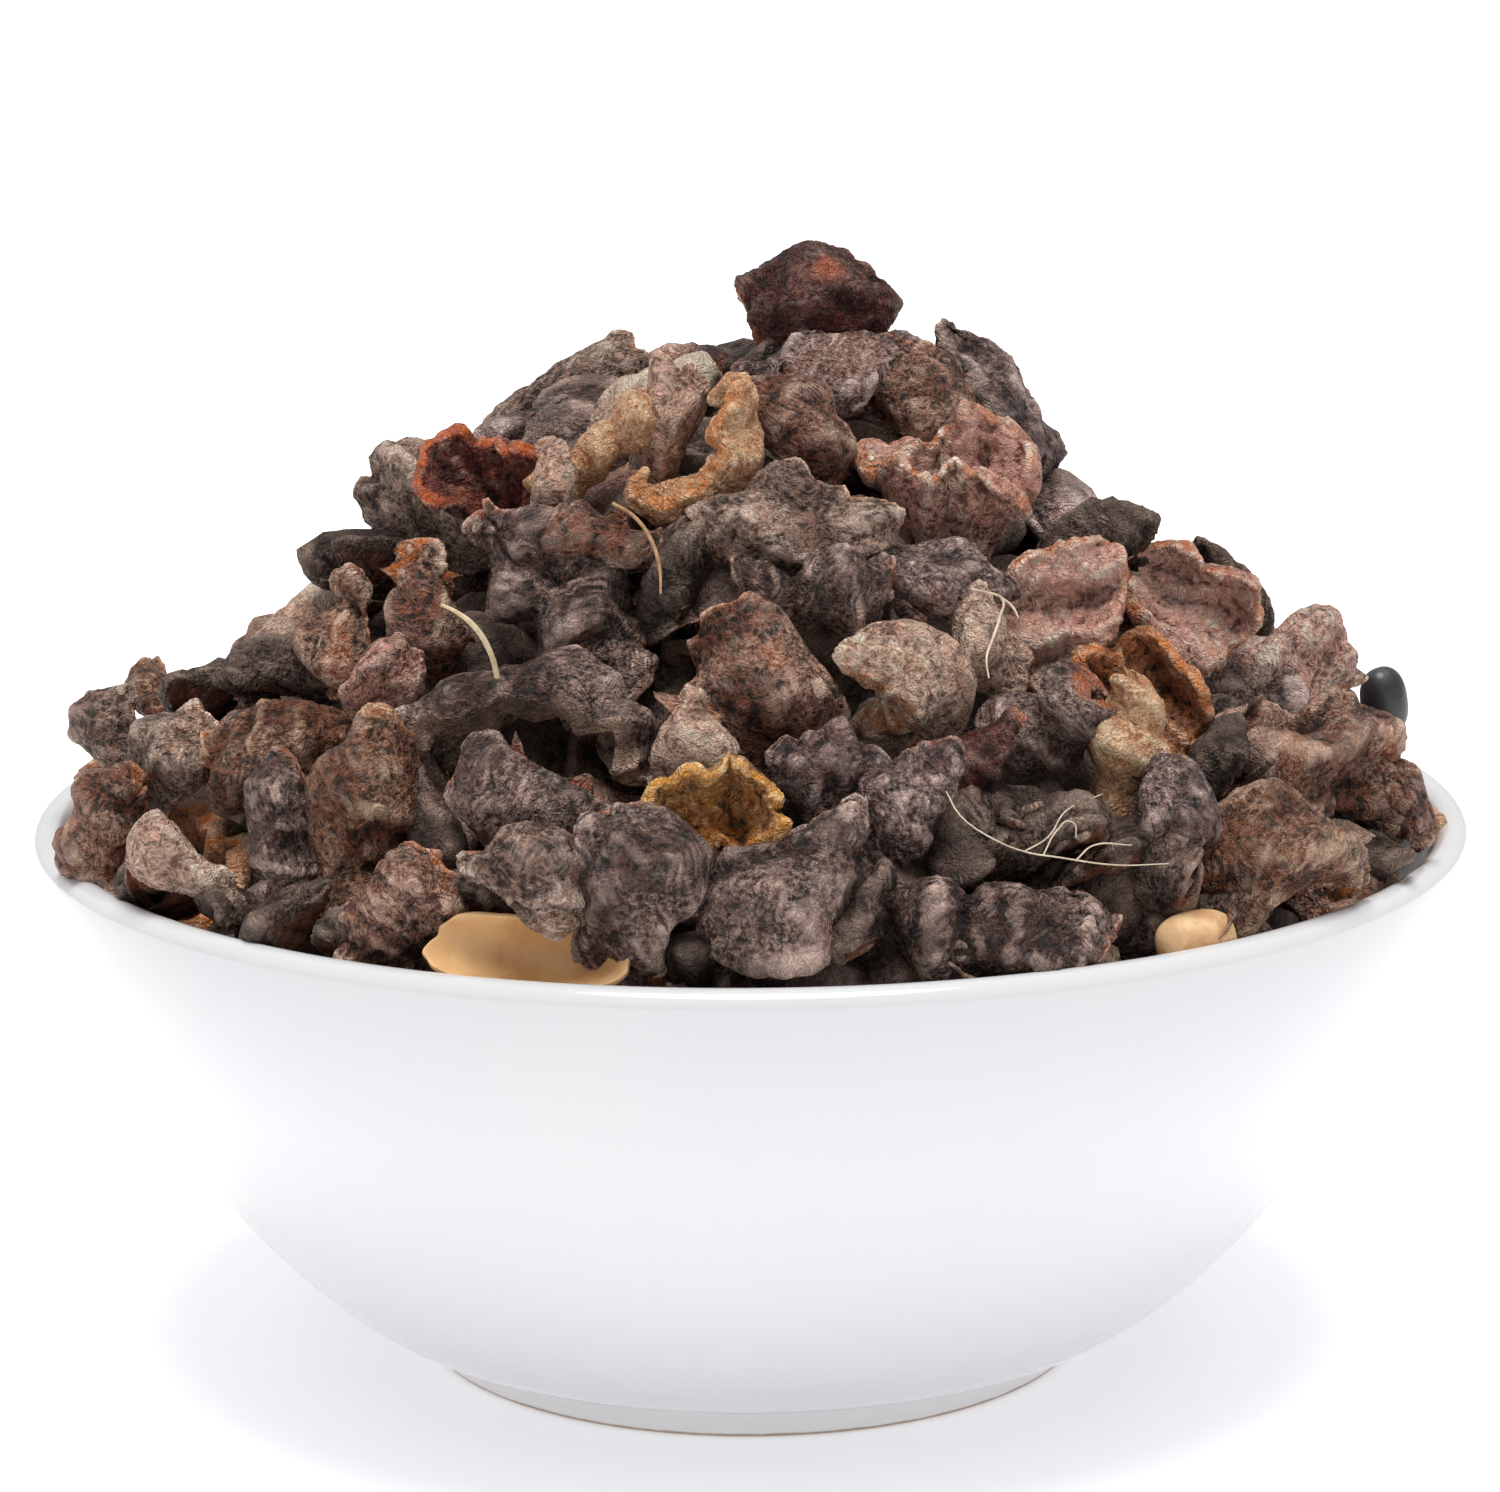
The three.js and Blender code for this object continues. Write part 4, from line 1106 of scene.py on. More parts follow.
class SkinFolds:
    """The node tree that wrinkles a smooth piece and gives it its finish."""

    NET_MIDDLE = 0.4
    PUCKER_RIDGE = 1.5

    def __init__(self) -> None:
        """Builds the tree with its named inputs."""
        depths = {"Net Depth": 0.0005, "Fine Depth": 0.0005, "Pucker Depth": 0.0005}
        self.tree = shaping_tree("dried skin folds", {**depths, "Skin": None})
        graph = Graph(self.tree)
        given = graph.add("NodeGroupInput").outputs
        local = graph.add(
            "GeometryNodeInputNamedAttribute", values={"Name": "local"}, data_type="FLOAT_VECTOR"
        )
        place = local.outputs["Attribute"]
        crinkle = Crinkle(graph, place)
        pucker = graph.minus(graph.level(place, Noise.PUCKER.value), 0.5)
        height = graph.times(pucker, given["Pucker Depth"])
        for net, depth in ((crinkle.wide, "Net Depth"), (crinkle.fine, "Fine Depth")):
            height = graph.plus(height, graph.times(graph.minus(net, self.NET_MIDDLE), given[depth]))
        outward = graph.add("GeometryNodeInputNormal").outputs[0]
        offset = graph.add("ShaderNodeVectorMath", values={0: outward, "Scale": height}, operation="SCALE")
        moved = graph.add(
            "GeometryNodeSetPosition", values={"Geometry": given["Geometry"], "Offset": offset.outputs[0]}
        )
        ridge = graph.plus(crinkle.wide, graph.times(pucker, self.PUCKER_RIDGE))
        marked = graph.add(
            "GeometryNodeStoreNamedAttribute",
            values={"Geometry": moved.outputs[0], "Name": "ridge", "Value": ridge},
            data_type="FLOAT",
            domain="POINT",
        )
        graph.end_shape(marked.outputs[0], given["Skin"])

    def apply(self, piece: bpy.types.Object, values: dict[str, object]) -> None:
        """Wrinkles a piece and leaves it a plain mesh.

        Args:
            piece: The piece.
            values: A value for each of the tree's named inputs.
        """
        before = piece.data
        done = grown(self.tree, piece, values)
        piece.modifiers.clear()
        piece.data = done
        done.name = piece.name
        bpy.data.meshes.remove(before)


# Finishes


def new_material(name: str) -> tuple[bpy.types.Material, Graph]:
    """An empty node material.

    Args:
        name: The material's name.

    Returns:
        The material, and the graph that fills it.
    """
    made = bpy.data.materials.new(name)
    made.use_nodes = True
    made.node_tree.nodes.clear()
    return made, Graph(made.node_tree)


def end_material(graph: Graph, values: dict[str, object]) -> None:
    """Ends a material with its shader.

    Args:
        graph: The material's graph.
        values: A value or a socket for each of the shader's inputs.
    """
    shader = graph.add("ShaderNodeBsdfPrincipled", values=values)
    graph.add("ShaderNodeOutputMaterial", values={"Surface": shader.outputs[0]})


class FruitPattern:
    """What a fruit finish follows: its noises, and the piece's ridges, hollow side and torn rim."""

    FOLD_POWER = 3.0
    SHADE_SHARES = (0.6, 0.2, 0.4)
    RIM_STEP = (0.38, 0.54, 0.15, 1.0)
    GRAIN_ON_CURVE = 0.05
    DUSTY_SHARES = (0.6, 0.4)
    DUSTY_STEP = (0.43, 0.57)

    def __init__(self, graph: Graph) -> None:
        """Adds the nodes that find them.

        Args:
            graph: The tree they go into.
        """
        place = graph.add("ShaderNodeAttribute", attribute_name="local").outputs["Vector"]
        self.ridge, self.hollow, rim = (
            graph.add("ShaderNodeAttribute", attribute_name=kept).outputs["Fac"]
            for kept in ("ridge", "flesh", "rim")
        )
        self.broad = graph.level(place, Noise.BROAD.value)
        self.blotch = graph.level(place, Noise.BLOTCH.value)
        self.grain = graph.level(place, Noise.GRAIN.value)
        self.veins = graph.folds(graph.level(place, Noise.VEINS.value), self.FOLD_POWER)
        self.hairline = graph.folds(graph.level(place, Noise.HAIRLINE.value), self.FOLD_POWER)
        self.shade = graph.weighed(*zip((self.blotch, self.grain, self.veins), self.SHADE_SHARES))
        self.rim = graph.times(rim, graph.step(self.broad, *self.RIM_STEP))
        curve = graph.add("ShaderNodeNewGeometry").outputs["Pointiness"]
        self.curve = graph.plus(curve, graph.times(graph.minus(self.grain, 0.5), self.GRAIN_ON_CURVE))
        patches = graph.weighed(*zip((self.broad, self.blotch), self.DUSTY_SHARES))
        self.dusty = graph.step(patches, *self.DUSTY_STEP)


@dataclass(frozen=True)
class FruitFinish:
    """The look of one shade of dried fruit, skin side and flesh side.

    The skin goes from dark to mid, and the hollow side from mid to flesh; dark also serves as painted
    shade in crevices and fold valleys. glow is the amber of thin torn edges, partly their own colour
    and partly painted light shining through them. dust_and_highlight is the pale bloom on folds and
    worn ridges, and is also laid on sharp ridges as a painted highlight.
    """

    dark: Colour
    mid: Colour
    dust_and_highlight: Colour
    flesh: Colour
    glow: Colour
    dust_and_highlight_amount: float
    flesh_share: float
    glow_share: float
    rough: float

    # Where each layer starts and is full, with its least and greatest share where they are not 0 and 1
    SKIN_STEP = (0.4, 0.78)
    PATCH_STEP, PATCH_SHARE = (0.6, 0.74), 0.6
    # Painted shade: the skin darkens in the low valleys of the folds.
    PAINTED_VALLEY_SHADE_STEP = (0.0, 0.35, 0.3, 0.0)
    FLESH_STEP = (0.36, 0.66)
    FLESH_PATCH_STEP = (0.54, 0.68, 0.0, 0.5)
    # Painted shade: where the surface curves inward, the colour darkens to dark.
    PAINTED_CREVICE_SHADE_STEP = (0.445, 0.497, 0.93, 0.0)
    # Partly real wear, partly a painted highlight: sharp ridges turn pale.
    WORN_STEP, WORN_SHARE, WORN_LEAST = (0.507, 0.555), 0.68, 0.4
    LINE_STEP, LINE_SHARE = (0.38, 0.6), 0.9
    FLECK_STEP, FLECK_SHARE = (0.62, 0.7), 0.25
    MARK_SHARE, MARK_LEAST = 0.85, 0.12
    FILM_STEP = (0.4, 0.64, 0.0, 0.08)
    RIM_GLOSS, BLOTCH_GLOSS, ROUGHER, DUST_ROUGHER = -0.25, -0.5, 0.2, 0.4
    RELIEF_SHARES = (0.7, 0.7, 0.3)
    RELIEF_DEPTH = 0.0007
    SPECULAR = 0.36

    def _bare(self, graph: Graph, pattern: FruitPattern) -> bpy.types.NodeSocket:
        """The colour under the pale bloom and painted highlight, with painted shade in crevices and fold
        valleys.

        Args:
            graph: The material's graph.
            pattern: What it follows.

        Returns:
            The colour's socket.
        """
        skin = graph.mix(graph.step(pattern.shade, *self.SKIN_STEP), self.dark, self.mid)
        patch = graph.step(pattern.broad, *self.PATCH_STEP, 0.0, self.glow_share * self.PATCH_SHARE)
        skin = graph.mix(patch, skin, self.glow)
        # Painted shade: the skin darkens towards dark in the low valleys of the folds.
        skin = graph.mix(graph.step(pattern.ridge, *self.PAINTED_VALLEY_SHADE_STEP), skin, self.dark)
        flesh = graph.mix(graph.step(pattern.shade, *self.FLESH_STEP), self.mid, self.flesh)
        flesh = graph.mix(graph.step(pattern.blotch, *self.FLESH_PATCH_STEP), flesh, self.glow)
        colour = graph.mix(graph.times(pattern.hollow, self.flesh_share), skin, flesh)
        # Torn rims turn to glow: partly the amber flesh's own colour, partly painted light shining through
        # the thin edges.
        colour = graph.mix(pattern.rim, colour, self.glow)
        # Painted shade: the colour darkens to dark in crevices, where the surface curves inward.
        return graph.mix(graph.step(pattern.curve, *self.PAINTED_CREVICE_SHADE_STEP), colour, self.dark)

    def _dusted_and_highlighted(self, graph: Graph, pattern: FruitPattern) -> bpy.types.NodeSocket:
        """How much pale dust lies on the surface, with a painted highlight on sharp ridges in the same
        colour.

        Args:
            graph: The material's graph.
            pattern: What it follows.

        Returns:
            The share's socket.
        """
        folded = graph.math("MAXIMUM", pattern.veins, pattern.hairline)
        lines = graph.times(folded, graph.step(pattern.grain, *self.LINE_STEP))
        flecks = graph.times(graph.step(pattern.grain, *self.FLECK_STEP), self.FLECK_SHARE)
        marks = graph.math("MAXIMUM", graph.times(lines, self.LINE_SHARE), flecks)
        marks = graph.times(marks, graph.plus(graph.times(pattern.dusty, self.MARK_SHARE), self.MARK_LEAST))
        # Partly real wear, partly a painted highlight: sharp ridges turn pale.
        kept = graph.plus(graph.times(pattern.dusty, self.WORN_SHARE), self.WORN_LEAST)
        worn_and_highlight = graph.times(graph.step(pattern.curve, *self.WORN_STEP), kept)
        film = graph.times(pattern.dusty, graph.step(pattern.grain, *self.FILM_STEP))
        dust_and_highlight = graph.math("MAXIMUM", graph.math("MAXIMUM", marks, film), worn_and_highlight)
        return graph.times(dust_and_highlight, self.dust_and_highlight_amount, clamp=True)

    def material(self, name: str) -> bpy.types.Material:
        """The finish as a node material.

        Args:
            name: The material's name.

        Returns:
            The new material.
        """
        made, graph = new_material(name)
        pattern = FruitPattern(graph)
        dust_and_highlight = self._dusted_and_highlighted(graph, pattern)
        gloss = graph.weighed((pattern.rim, self.RIM_GLOSS), (pattern.blotch, self.BLOTCH_GLOSS))
        rough = graph.plus(gloss, self.rough + self.ROUGHER)
        rough = graph.plus(rough, graph.times(dust_and_highlight, self.DUST_ROUGHER), clamp=True)
        relief = graph.weighed(*zip((pattern.grain, pattern.veins, pattern.hairline), self.RELIEF_SHARES))
        end_material(
            graph,
            {
                "Base Color": graph.mix(dust_and_highlight, self._bare(graph, pattern), self.dust_and_highlight),
                "Roughness": rough,
                "Normal": graph.bump(relief, 1.0, self.RELIEF_DEPTH),
                "Specular IOR Level": self.SPECULAR,
            },
        )
        return made


FRUIT_FINISHES = {
    Tone.SLATE: FruitFinish(
        srgb(20, 11, 8), srgb(95, 60, 51), srgb(241, 208, 193), srgb(147, 102, 86), srgb(204, 106, 48),
        0.75, 0.6, 0.35, 0.54,
    ),
    Tone.DUSK: FruitFinish(
        srgb(27, 17, 15), srgb(119, 82, 77), srgb(247, 217, 205), srgb(172, 128, 120), srgb(214, 116, 56),
        0.8, 0.6, 0.4, 0.53,
    ),
    Tone.UMBER: FruitFinish(
        srgb(33, 18, 13), srgb(147, 87, 64), srgb(247, 209, 185), srgb(194, 134, 104), srgb(228, 120, 48),
        0.75, 0.7, 0.65, 0.5,
    ),
    Tone.OLIVE: FruitFinish(
        srgb(44, 30, 24), srgb(156, 117, 100), srgb(249, 221, 202), srgb(196, 156, 134), srgb(212, 130, 66),
        0.82, 0.6, 0.4, 0.6,
    ),
    Tone.PALE: FruitFinish(
        srgb(118, 85, 72), srgb(242, 190, 167), srgb(252, 233, 209), srgb(245, 202, 179), srgb(226, 142, 88),
        0.85, 0.6, 0.45, 0.62,
    ),
    Tone.PINK: FruitFinish(
        srgb(108, 66, 54), srgb(244, 176, 157), srgb(252, 235, 215), srgb(252, 192, 174), srgb(236, 130, 68),
        0.85, 0.75, 0.7, 0.5,
    ),
    Tone.TAN: FruitFinish(
        srgb(180, 113, 69), srgb(252, 195, 148), srgb(252, 225, 187), srgb(252, 200, 152), srgb(236, 142, 72),
        0.8, 0.6, 0.55, 0.56,
    ),
    Tone.AMBER: FruitFinish(
        srgb(48, 24, 15), srgb(141, 82, 56), srgb(242, 205, 175), srgb(212, 122, 64), srgb(244, 138, 52),
        0.7, 0.8, 0.9, 0.38,
    ),
    Tone.RED: FruitFinish(
        srgb(32, 12, 9), srgb(98, 39, 31), srgb(205, 162, 148), srgb(108, 40, 27), srgb(230, 108, 40),
        0.55, 0.8, 0.85, 0.36,
    ),
    Tone.GOLD: FruitFinish(
        srgb(76, 39, 17), srgb(188, 110, 58), srgb(252, 220, 170), srgb(229, 148, 64), srgb(248, 166, 60),
        0.65, 0.8, 0.8, 0.4,
    ),
}
# A darker copy of the dark skin: painted shade for the scraps in the gaps and the pieces deep in the heap.
SHADED_GAP_FINISH = FruitFinish(
    srgb(20, 13, 10), srgb(76, 52, 43), srgb(184, 157, 142), srgb(108, 77, 60), srgb(150, 82, 44),
    0.7, 0.5, 0.35, 0.6,
)
OWN_FINISHES = {
    "big_arch": replace(
        FRUIT_FINISHES[Tone.SLATE], flesh=srgb(206, 178, 156), glow=srgb(198, 166, 140), flesh_share=0.9
    ),
}

@dataclass(frozen=True)
class SmoothFinish:
    """A hard, nearly smooth finish for a seed, a fibre or the floor.

    scale is how many clouds it has to a millimetre.
    """

    base: Colour
    other: Colour
    scale: float
    rough: float
    coat: float
    relief: float
    subsurface: float = 0.0
    glow: float = 0.0

    CLOUD, GRAIN = (5, 0.6, 0.5), (4, 0.65)
    CLOUD_STEP = (0.35, 0.7)
    GRAIN_STEP = (0.55, 0.8, 0.0, 0.35)
    FINER = 7
    UNEVEN = 0.12
    GRAIN_RELIEF = 0.3
    RELIEF_DEPTH = 0.0003
    COAT_ROUGH = 0.06
    SOAK, SOAK_DEPTH = (1.0, 0.6, 0.35), 0.001

    def material(self, name: str) -> bpy.types.Material:
        """The finish as a node material.

        Args:
            name: The material's name.

        Returns:
            The new material.
        """
        made, graph = new_material(name)
        place = graph.millimetres()
        cloud = graph.level(place, (self.scale, *self.CLOUD))
        grain = graph.level(place, (self.scale * self.FINER, *self.GRAIN))
        colour = graph.mix(graph.step(cloud, *self.CLOUD_STEP), self.base, self.other)
        rough = graph.plus(graph.times(cloud, self.UNEVEN), self.rough - self.UNEVEN / 2)
        relief = graph.plus(cloud, graph.times(grain, self.GRAIN_RELIEF))
        end_material(
            graph,
            {
                "Base Color": graph.mix(graph.step(grain, *self.GRAIN_STEP), colour, self.other),
                "Roughness": rough,
                "Normal": graph.bump(relief, self.relief, self.RELIEF_DEPTH),
                "Coat Weight": self.coat,
                "Coat Roughness": self.COAT_ROUGH,
                "Subsurface Weight": self.subsurface,
                "Subsurface Radius": self.SOAK,
                "Subsurface Scale": self.SOAK_DEPTH,
                "Emission Color": self.base,
                "Emission Strength": self.glow,
            },
        )
        return made


HARD_FINISHES = {
    "seed_shell": SmoothFinish(srgb(226, 186, 134), srgb(204, 152, 98), 0.22, 0.42, 0.1, 0.35, 0.1),
    "tan_seed": SmoothFinish(srgb(222, 184, 138), srgb(190, 144, 98), 0.5, 0.5, 0.0, 0.4),
    "black_bead": SmoothFinish(srgb(46, 46, 50), srgb(30, 29, 31), 0.4, 0.42, 0.15, 0.4),
}
STRAND_FINISHES = {
    "stalk_skin": SmoothFinish(srgb(228, 208, 170), srgb(206, 180, 138), 0.8, 0.6, 0.0, 0.5),
    "fibre_pale": SmoothFinish(srgb(214, 200, 178), srgb(184, 164, 138), 0.8, 0.6, 0.0, 0.2),
    "fibre_tan": SmoothFinish(srgb(178, 140, 100), srgb(140, 102, 70), 0.8, 0.7, 0.0, 0.5),
}
# The floor glows faintly with its own colour: painted light that lifts the shadow round the foot and
# brightens the bowl's lower side.
FLOOR_FINISH = SmoothFinish(srgb(250, 250, 252), srgb(247, 248, 251), 0.004, 0.6, 0.0, 0.0, 0.0, 0.33)


@dataclass(frozen=True)
class GlazeFinish:
    """Clear-coated white glaze that stops short of the foot ring's unglazed edge.

    foot_from and clay_to are the heights between which the foot is painted paler, as painted
    light against the shade under the body, and the glaze ends, in millimetres.
    """

    white: Colour = srgb(211, 211, 213)
    cloudy: Colour = srgb(208, 209, 212)
    pit: Colour = srgb(200, 198, 194)
    # Painted light: the pale foot colour lightens the foot ring against the shade under the body.
    foot: Colour = srgb(244, 243, 243)
    clay: tuple[Colour, Colour] = (srgb(150, 122, 104), srgb(196, 180, 164))
    foot_from: Pair = (2.4, 3.6)
    clay_to: Pair = (0.35, 0.55)
    waver: float = 0.3
    pit_share: float = 0.12
    rough: float = 0.08
    uneven: float = 0.06
    clay_rougher: float = 0.6
    relief: float = 0.12
    relief_depth: float = 0.0005
    pit_relief: float = -0.04
    index: float = 1.5
    coat: float = 0.4
    coat_rough: float = 0.04

    CLOUD, RIPPLE, WAVER = (0.03, 3, 0.5), (0.09, 2, 0.5), (0.35, 3, 0.6)
    PITS, CLAY = (1.6, 2, 0.6), (1.5, 4, 0.7)
    CLOUD_STEP, PIT_STEP = (0.3, 0.7), (0.74, 0.8)

    def material(self, name: str) -> bpy.types.Material:
        """The glaze as a node material.

        Args:
            name: The material's name.

        Returns:
            The new material.
        """
        made, graph = new_material(name)
        place = graph.millimetres()
        height = graph.add("ShaderNodeSeparateXYZ", values={"Vector": place}).outputs["Z"]
        cloud = graph.level(place, self.CLOUD)
        ripple = graph.level(place, self.RIPPLE)
        pits = graph.step(graph.level(place, self.PITS), *self.PIT_STEP)
        glaze = graph.mix(graph.step(cloud, *self.CLOUD_STEP), self.white, self.cloudy)
        glaze = graph.mix(graph.times(pits, self.pit_share), glaze, self.pit)
        # Painted light: the foot ring turns to the paler foot colour, against the shade under the body.
        glaze = graph.mix(graph.step(height, *self.foot_from, 1.0, 0.0), glaze, self.foot)
        waver = graph.times(graph.level(place, self.WAVER), self.waver)
        low = graph.step(graph.plus(height, waver), *self.clay_to, 1.0, 0.0)
        clay = graph.mix(graph.level(place, self.CLAY), *self.clay)
        rough = graph.weighed((low, self.clay_rougher), (cloud, self.uneven))
        relief = graph.plus(ripple, graph.times(pits, self.pit_relief))
        end_material(
            graph,
            {
                "Base Color": graph.mix(low, glaze, clay),
                "Roughness": graph.plus(rough, self.rough),
                "Normal": graph.bump(relief, self.relief, self.relief_depth),
                "IOR": self.index,
                "Coat Weight": self.coat,
                "Coat Roughness": self.coat_rough,
            },
        )
        return made


# Sub-assemblies


def dress(piece: bpy.types.Object, slot: str, *nodes: str) -> bpy.types.Object:
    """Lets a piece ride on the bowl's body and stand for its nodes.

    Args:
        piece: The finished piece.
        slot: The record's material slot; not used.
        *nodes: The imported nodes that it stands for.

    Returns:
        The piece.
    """
    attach(piece, "root")
    if nodes:
        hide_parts(*nodes)
    LOG.info("%s: %d faces", piece.name, len(piece.data.polygons))
    return piece


def lathe(profile: list[Pair], sides: int) -> tuple[np.ndarray, np.ndarray, np.ndarray]:
    """Turns a profile from the axis round to the axis.

    Args:
        profile: Points as distance from the axis and height, with both ends on the axis.
        sides: How many steps round.

    Returns:
        The points, the quads, and the triangles at the two ends.
    """
    ring = np.array(profile[1:-1])
    turn = np.arange(sides) * math.tau / sides
    across, height = ring[:, :1], np.repeat(ring[:, 1:], sides, 1)
    points = np.stack([across * np.cos(turn), across * np.sin(turn), height], axis=-1).reshape(-1, 3)
    here = np.arange(sides)
    after = (here + 1) % sides
    rows = np.arange(len(ring) - 1)[:, None] * sides
    corners = (rows + here, rows + after, rows + sides + after, rows + sides + here)
    quads = np.stack(corners, axis=-1).reshape(-1, 4)
    low, high = len(points), len(points) + 1
    points = np.concatenate([points, [[0, 0, profile[0][1]], [0, 0, profile[-1][1]]]])
    last = (len(ring) - 1) * sides
    under = np.stack([np.full(sides, low), after, here], 1)
    over = np.stack([last + here, last + after, np.full(sides, high)], 1)
    return points, quads, np.concatenate([under, over])


@dataclass
class FootedBowl:
    """The turned white bowl on its foot ring, in millimetres."""

    lip_radius: float = LIP_RADIUS
    height: float = BOWL_HEIGHT
    wall: float = 2.9
    foot_radius: float = 27.9
    foot_height: float = 3.1
    ring_width: float = 2.9
    recess: float = 1.5
    floor: float = 3.6
    pulls: tuple[Pair, Pair] = ((58.9, 31.2), (38.6, 1.3))
    body_start: float = 28.7
    body_steps: int = 44
    lip_steps: int = 18
    sides: int = 200
    fillet_heights: Pair = (1.4, 0.1)
    fillet_steps: int = 8
    foot_edge: float = 0.35
    foot_edge_steps: int = 6
    recess_corner: tuple[Pair, Pair] = ((-0.4, 0.0), (0.0, -0.15))
    ring_corner: tuple[Pair, Pair] = ((0.05, 0.3), (0.35, 0.0))
    floor_run: float = 3.5
    floor_rise: float = 0.2
    wall_rows: int = 40
    wall_end: int = 36
    wall_gap: float = 0.15
    lip_rows: tuple[Pair, Pair] = ((-0.3, 2.4), (0.0, 1.6))
    open_above: float = 0.4

    def _side(self, share: float) -> np.ndarray:
        """A point of the outer side.

        Args:
            share: How far down it lies, from 0 under the lip to 1 at the foot.

        Returns:
            Its distance from the axis and its height.
        """
        top, end = (self.lip_radius, self.height - self.wall / 2), (self.body_start, self.foot_height)
        rest = 1 - share
        shares = np.array([rest**3, 3 * share * rest**2, 3 * share**2 * rest, share**3])
        return shares @ np.array([top, *self.pulls, end])

    def _offset(self, share: float, distance: float) -> Pair:
        """A point of the same side, moved outwards.

        Args:
            share: How far down it lies.
            distance: How far out it is moved, or in where it is negative.

        Returns:
            Its distance from the axis and its height.
        """
        low, high = self._side(min(1, share + 0.01)), self._side(max(0, share - 0.01))
        run = (low - high) / np.linalg.norm(low - high)
        point = self._side(share) + np.array([-run[1], run[0]]) * distance
        return (float(point[0]), float(point[1]))

    def _fillet(self, body: Pair) -> list[Pair]:
        """The soft inner corner above the foot ring.

        Args:
            body: The point of the body that it runs to.

        Returns:
            Its points, going up.
        """
        start, corner = ((self.foot_radius, self.foot_height - drop) for drop in self.fillet_heights)
        points = []
        for share in (step / self.fillet_steps for step in range(self.fillet_steps + 1)):
            shares = ((1 - share) ** 2, 2 * share * (1 - share), share**2)
            points.append(tuple(float(v) for v in shares @ np.array([start, corner, body])))
        return points

    def profile(self) -> list[Pair]:
        """The bowl's section.

        Returns:
            The points of the turned profile, from under the floor round to the top of the floor.
        """
        shares = [step / self.body_steps for step in range(self.body_steps + 1)]
        floor = self.recess + self.floor
        top = floor + self.floor_rise
        inner = [point for point in (self._offset(share, -self.wall) for share in shares) if point[1] > top]
        lip_radius = self.wall / 2
        lip = [
            (
                self.lip_radius - lip_radius + lip_radius * math.cos(angle),
                self.height - lip_radius + lip_radius * math.sin(angle),
            )
            for angle in (math.pi * step / self.lip_steps for step in range(1, self.lip_steps))
        ]
        ring = self.foot_radius - self.ring_width
        turned = np.linspace(0, math.pi / 2, self.foot_edge_steps)
        edge = [
            (self.foot_radius - self.foot_edge * (1 - math.sin(t)), self.foot_edge * (1 - math.cos(t)))
            for t in turned
        ]
        return [
            (0.0, self.recess),
            *((ring + out, self.recess + up) for out, up in self.recess_corner),
            *((ring + out, up) for out, up in self.ring_corner),
            *edge,
            *self._fillet(self._offset(shares[-3], 0)),
            *(self._offset(share, 0) for share in reversed(shares[:-3])),
            *lip,
            *inner,
            (inner[-1][0] - self.floor_run, top),
            (0.0, floor),
        ]

    def inner_wall(self) -> np.ndarray:
        """The room inside the wall and over the lip.

        Returns:
            Rows of height and radius, going up.
        """
        inner = [self._offset(step / self.wall_rows, -self.wall) for step in range(self.wall_end, -1, -1)]
        rows = [(height, radius - self.wall_gap) for radius, height in inner]
        rows += [(self.height + up, self.lip_radius - within) for up, within in self.lip_rows]
        return np.array([*rows, (self.height + self.open_above, 2 * self.lip_radius)])

    def build(self) -> bpy.types.Object:
        """Makes the fine bowl, standing for its node.

        Returns:
            The bowl.
        """
        points, quads, caps = lathe(self.profile(), self.sides)
        mesh = bpy.data.meshes.new("bowl_glazed")
        mesh.from_pydata((points * MM).tolist(), [], quads.tolist() + caps.tolist())
        mesh.polygons.foreach_set("use_smooth", np.ones(len(mesh.polygons), dtype=bool))
        mesh.materials.append(GlazeFinish().material("white_glaze"))
        mesh.update()
        return dress(new_object("bowl_glazed", mesh), "white_glaze", "bowl")


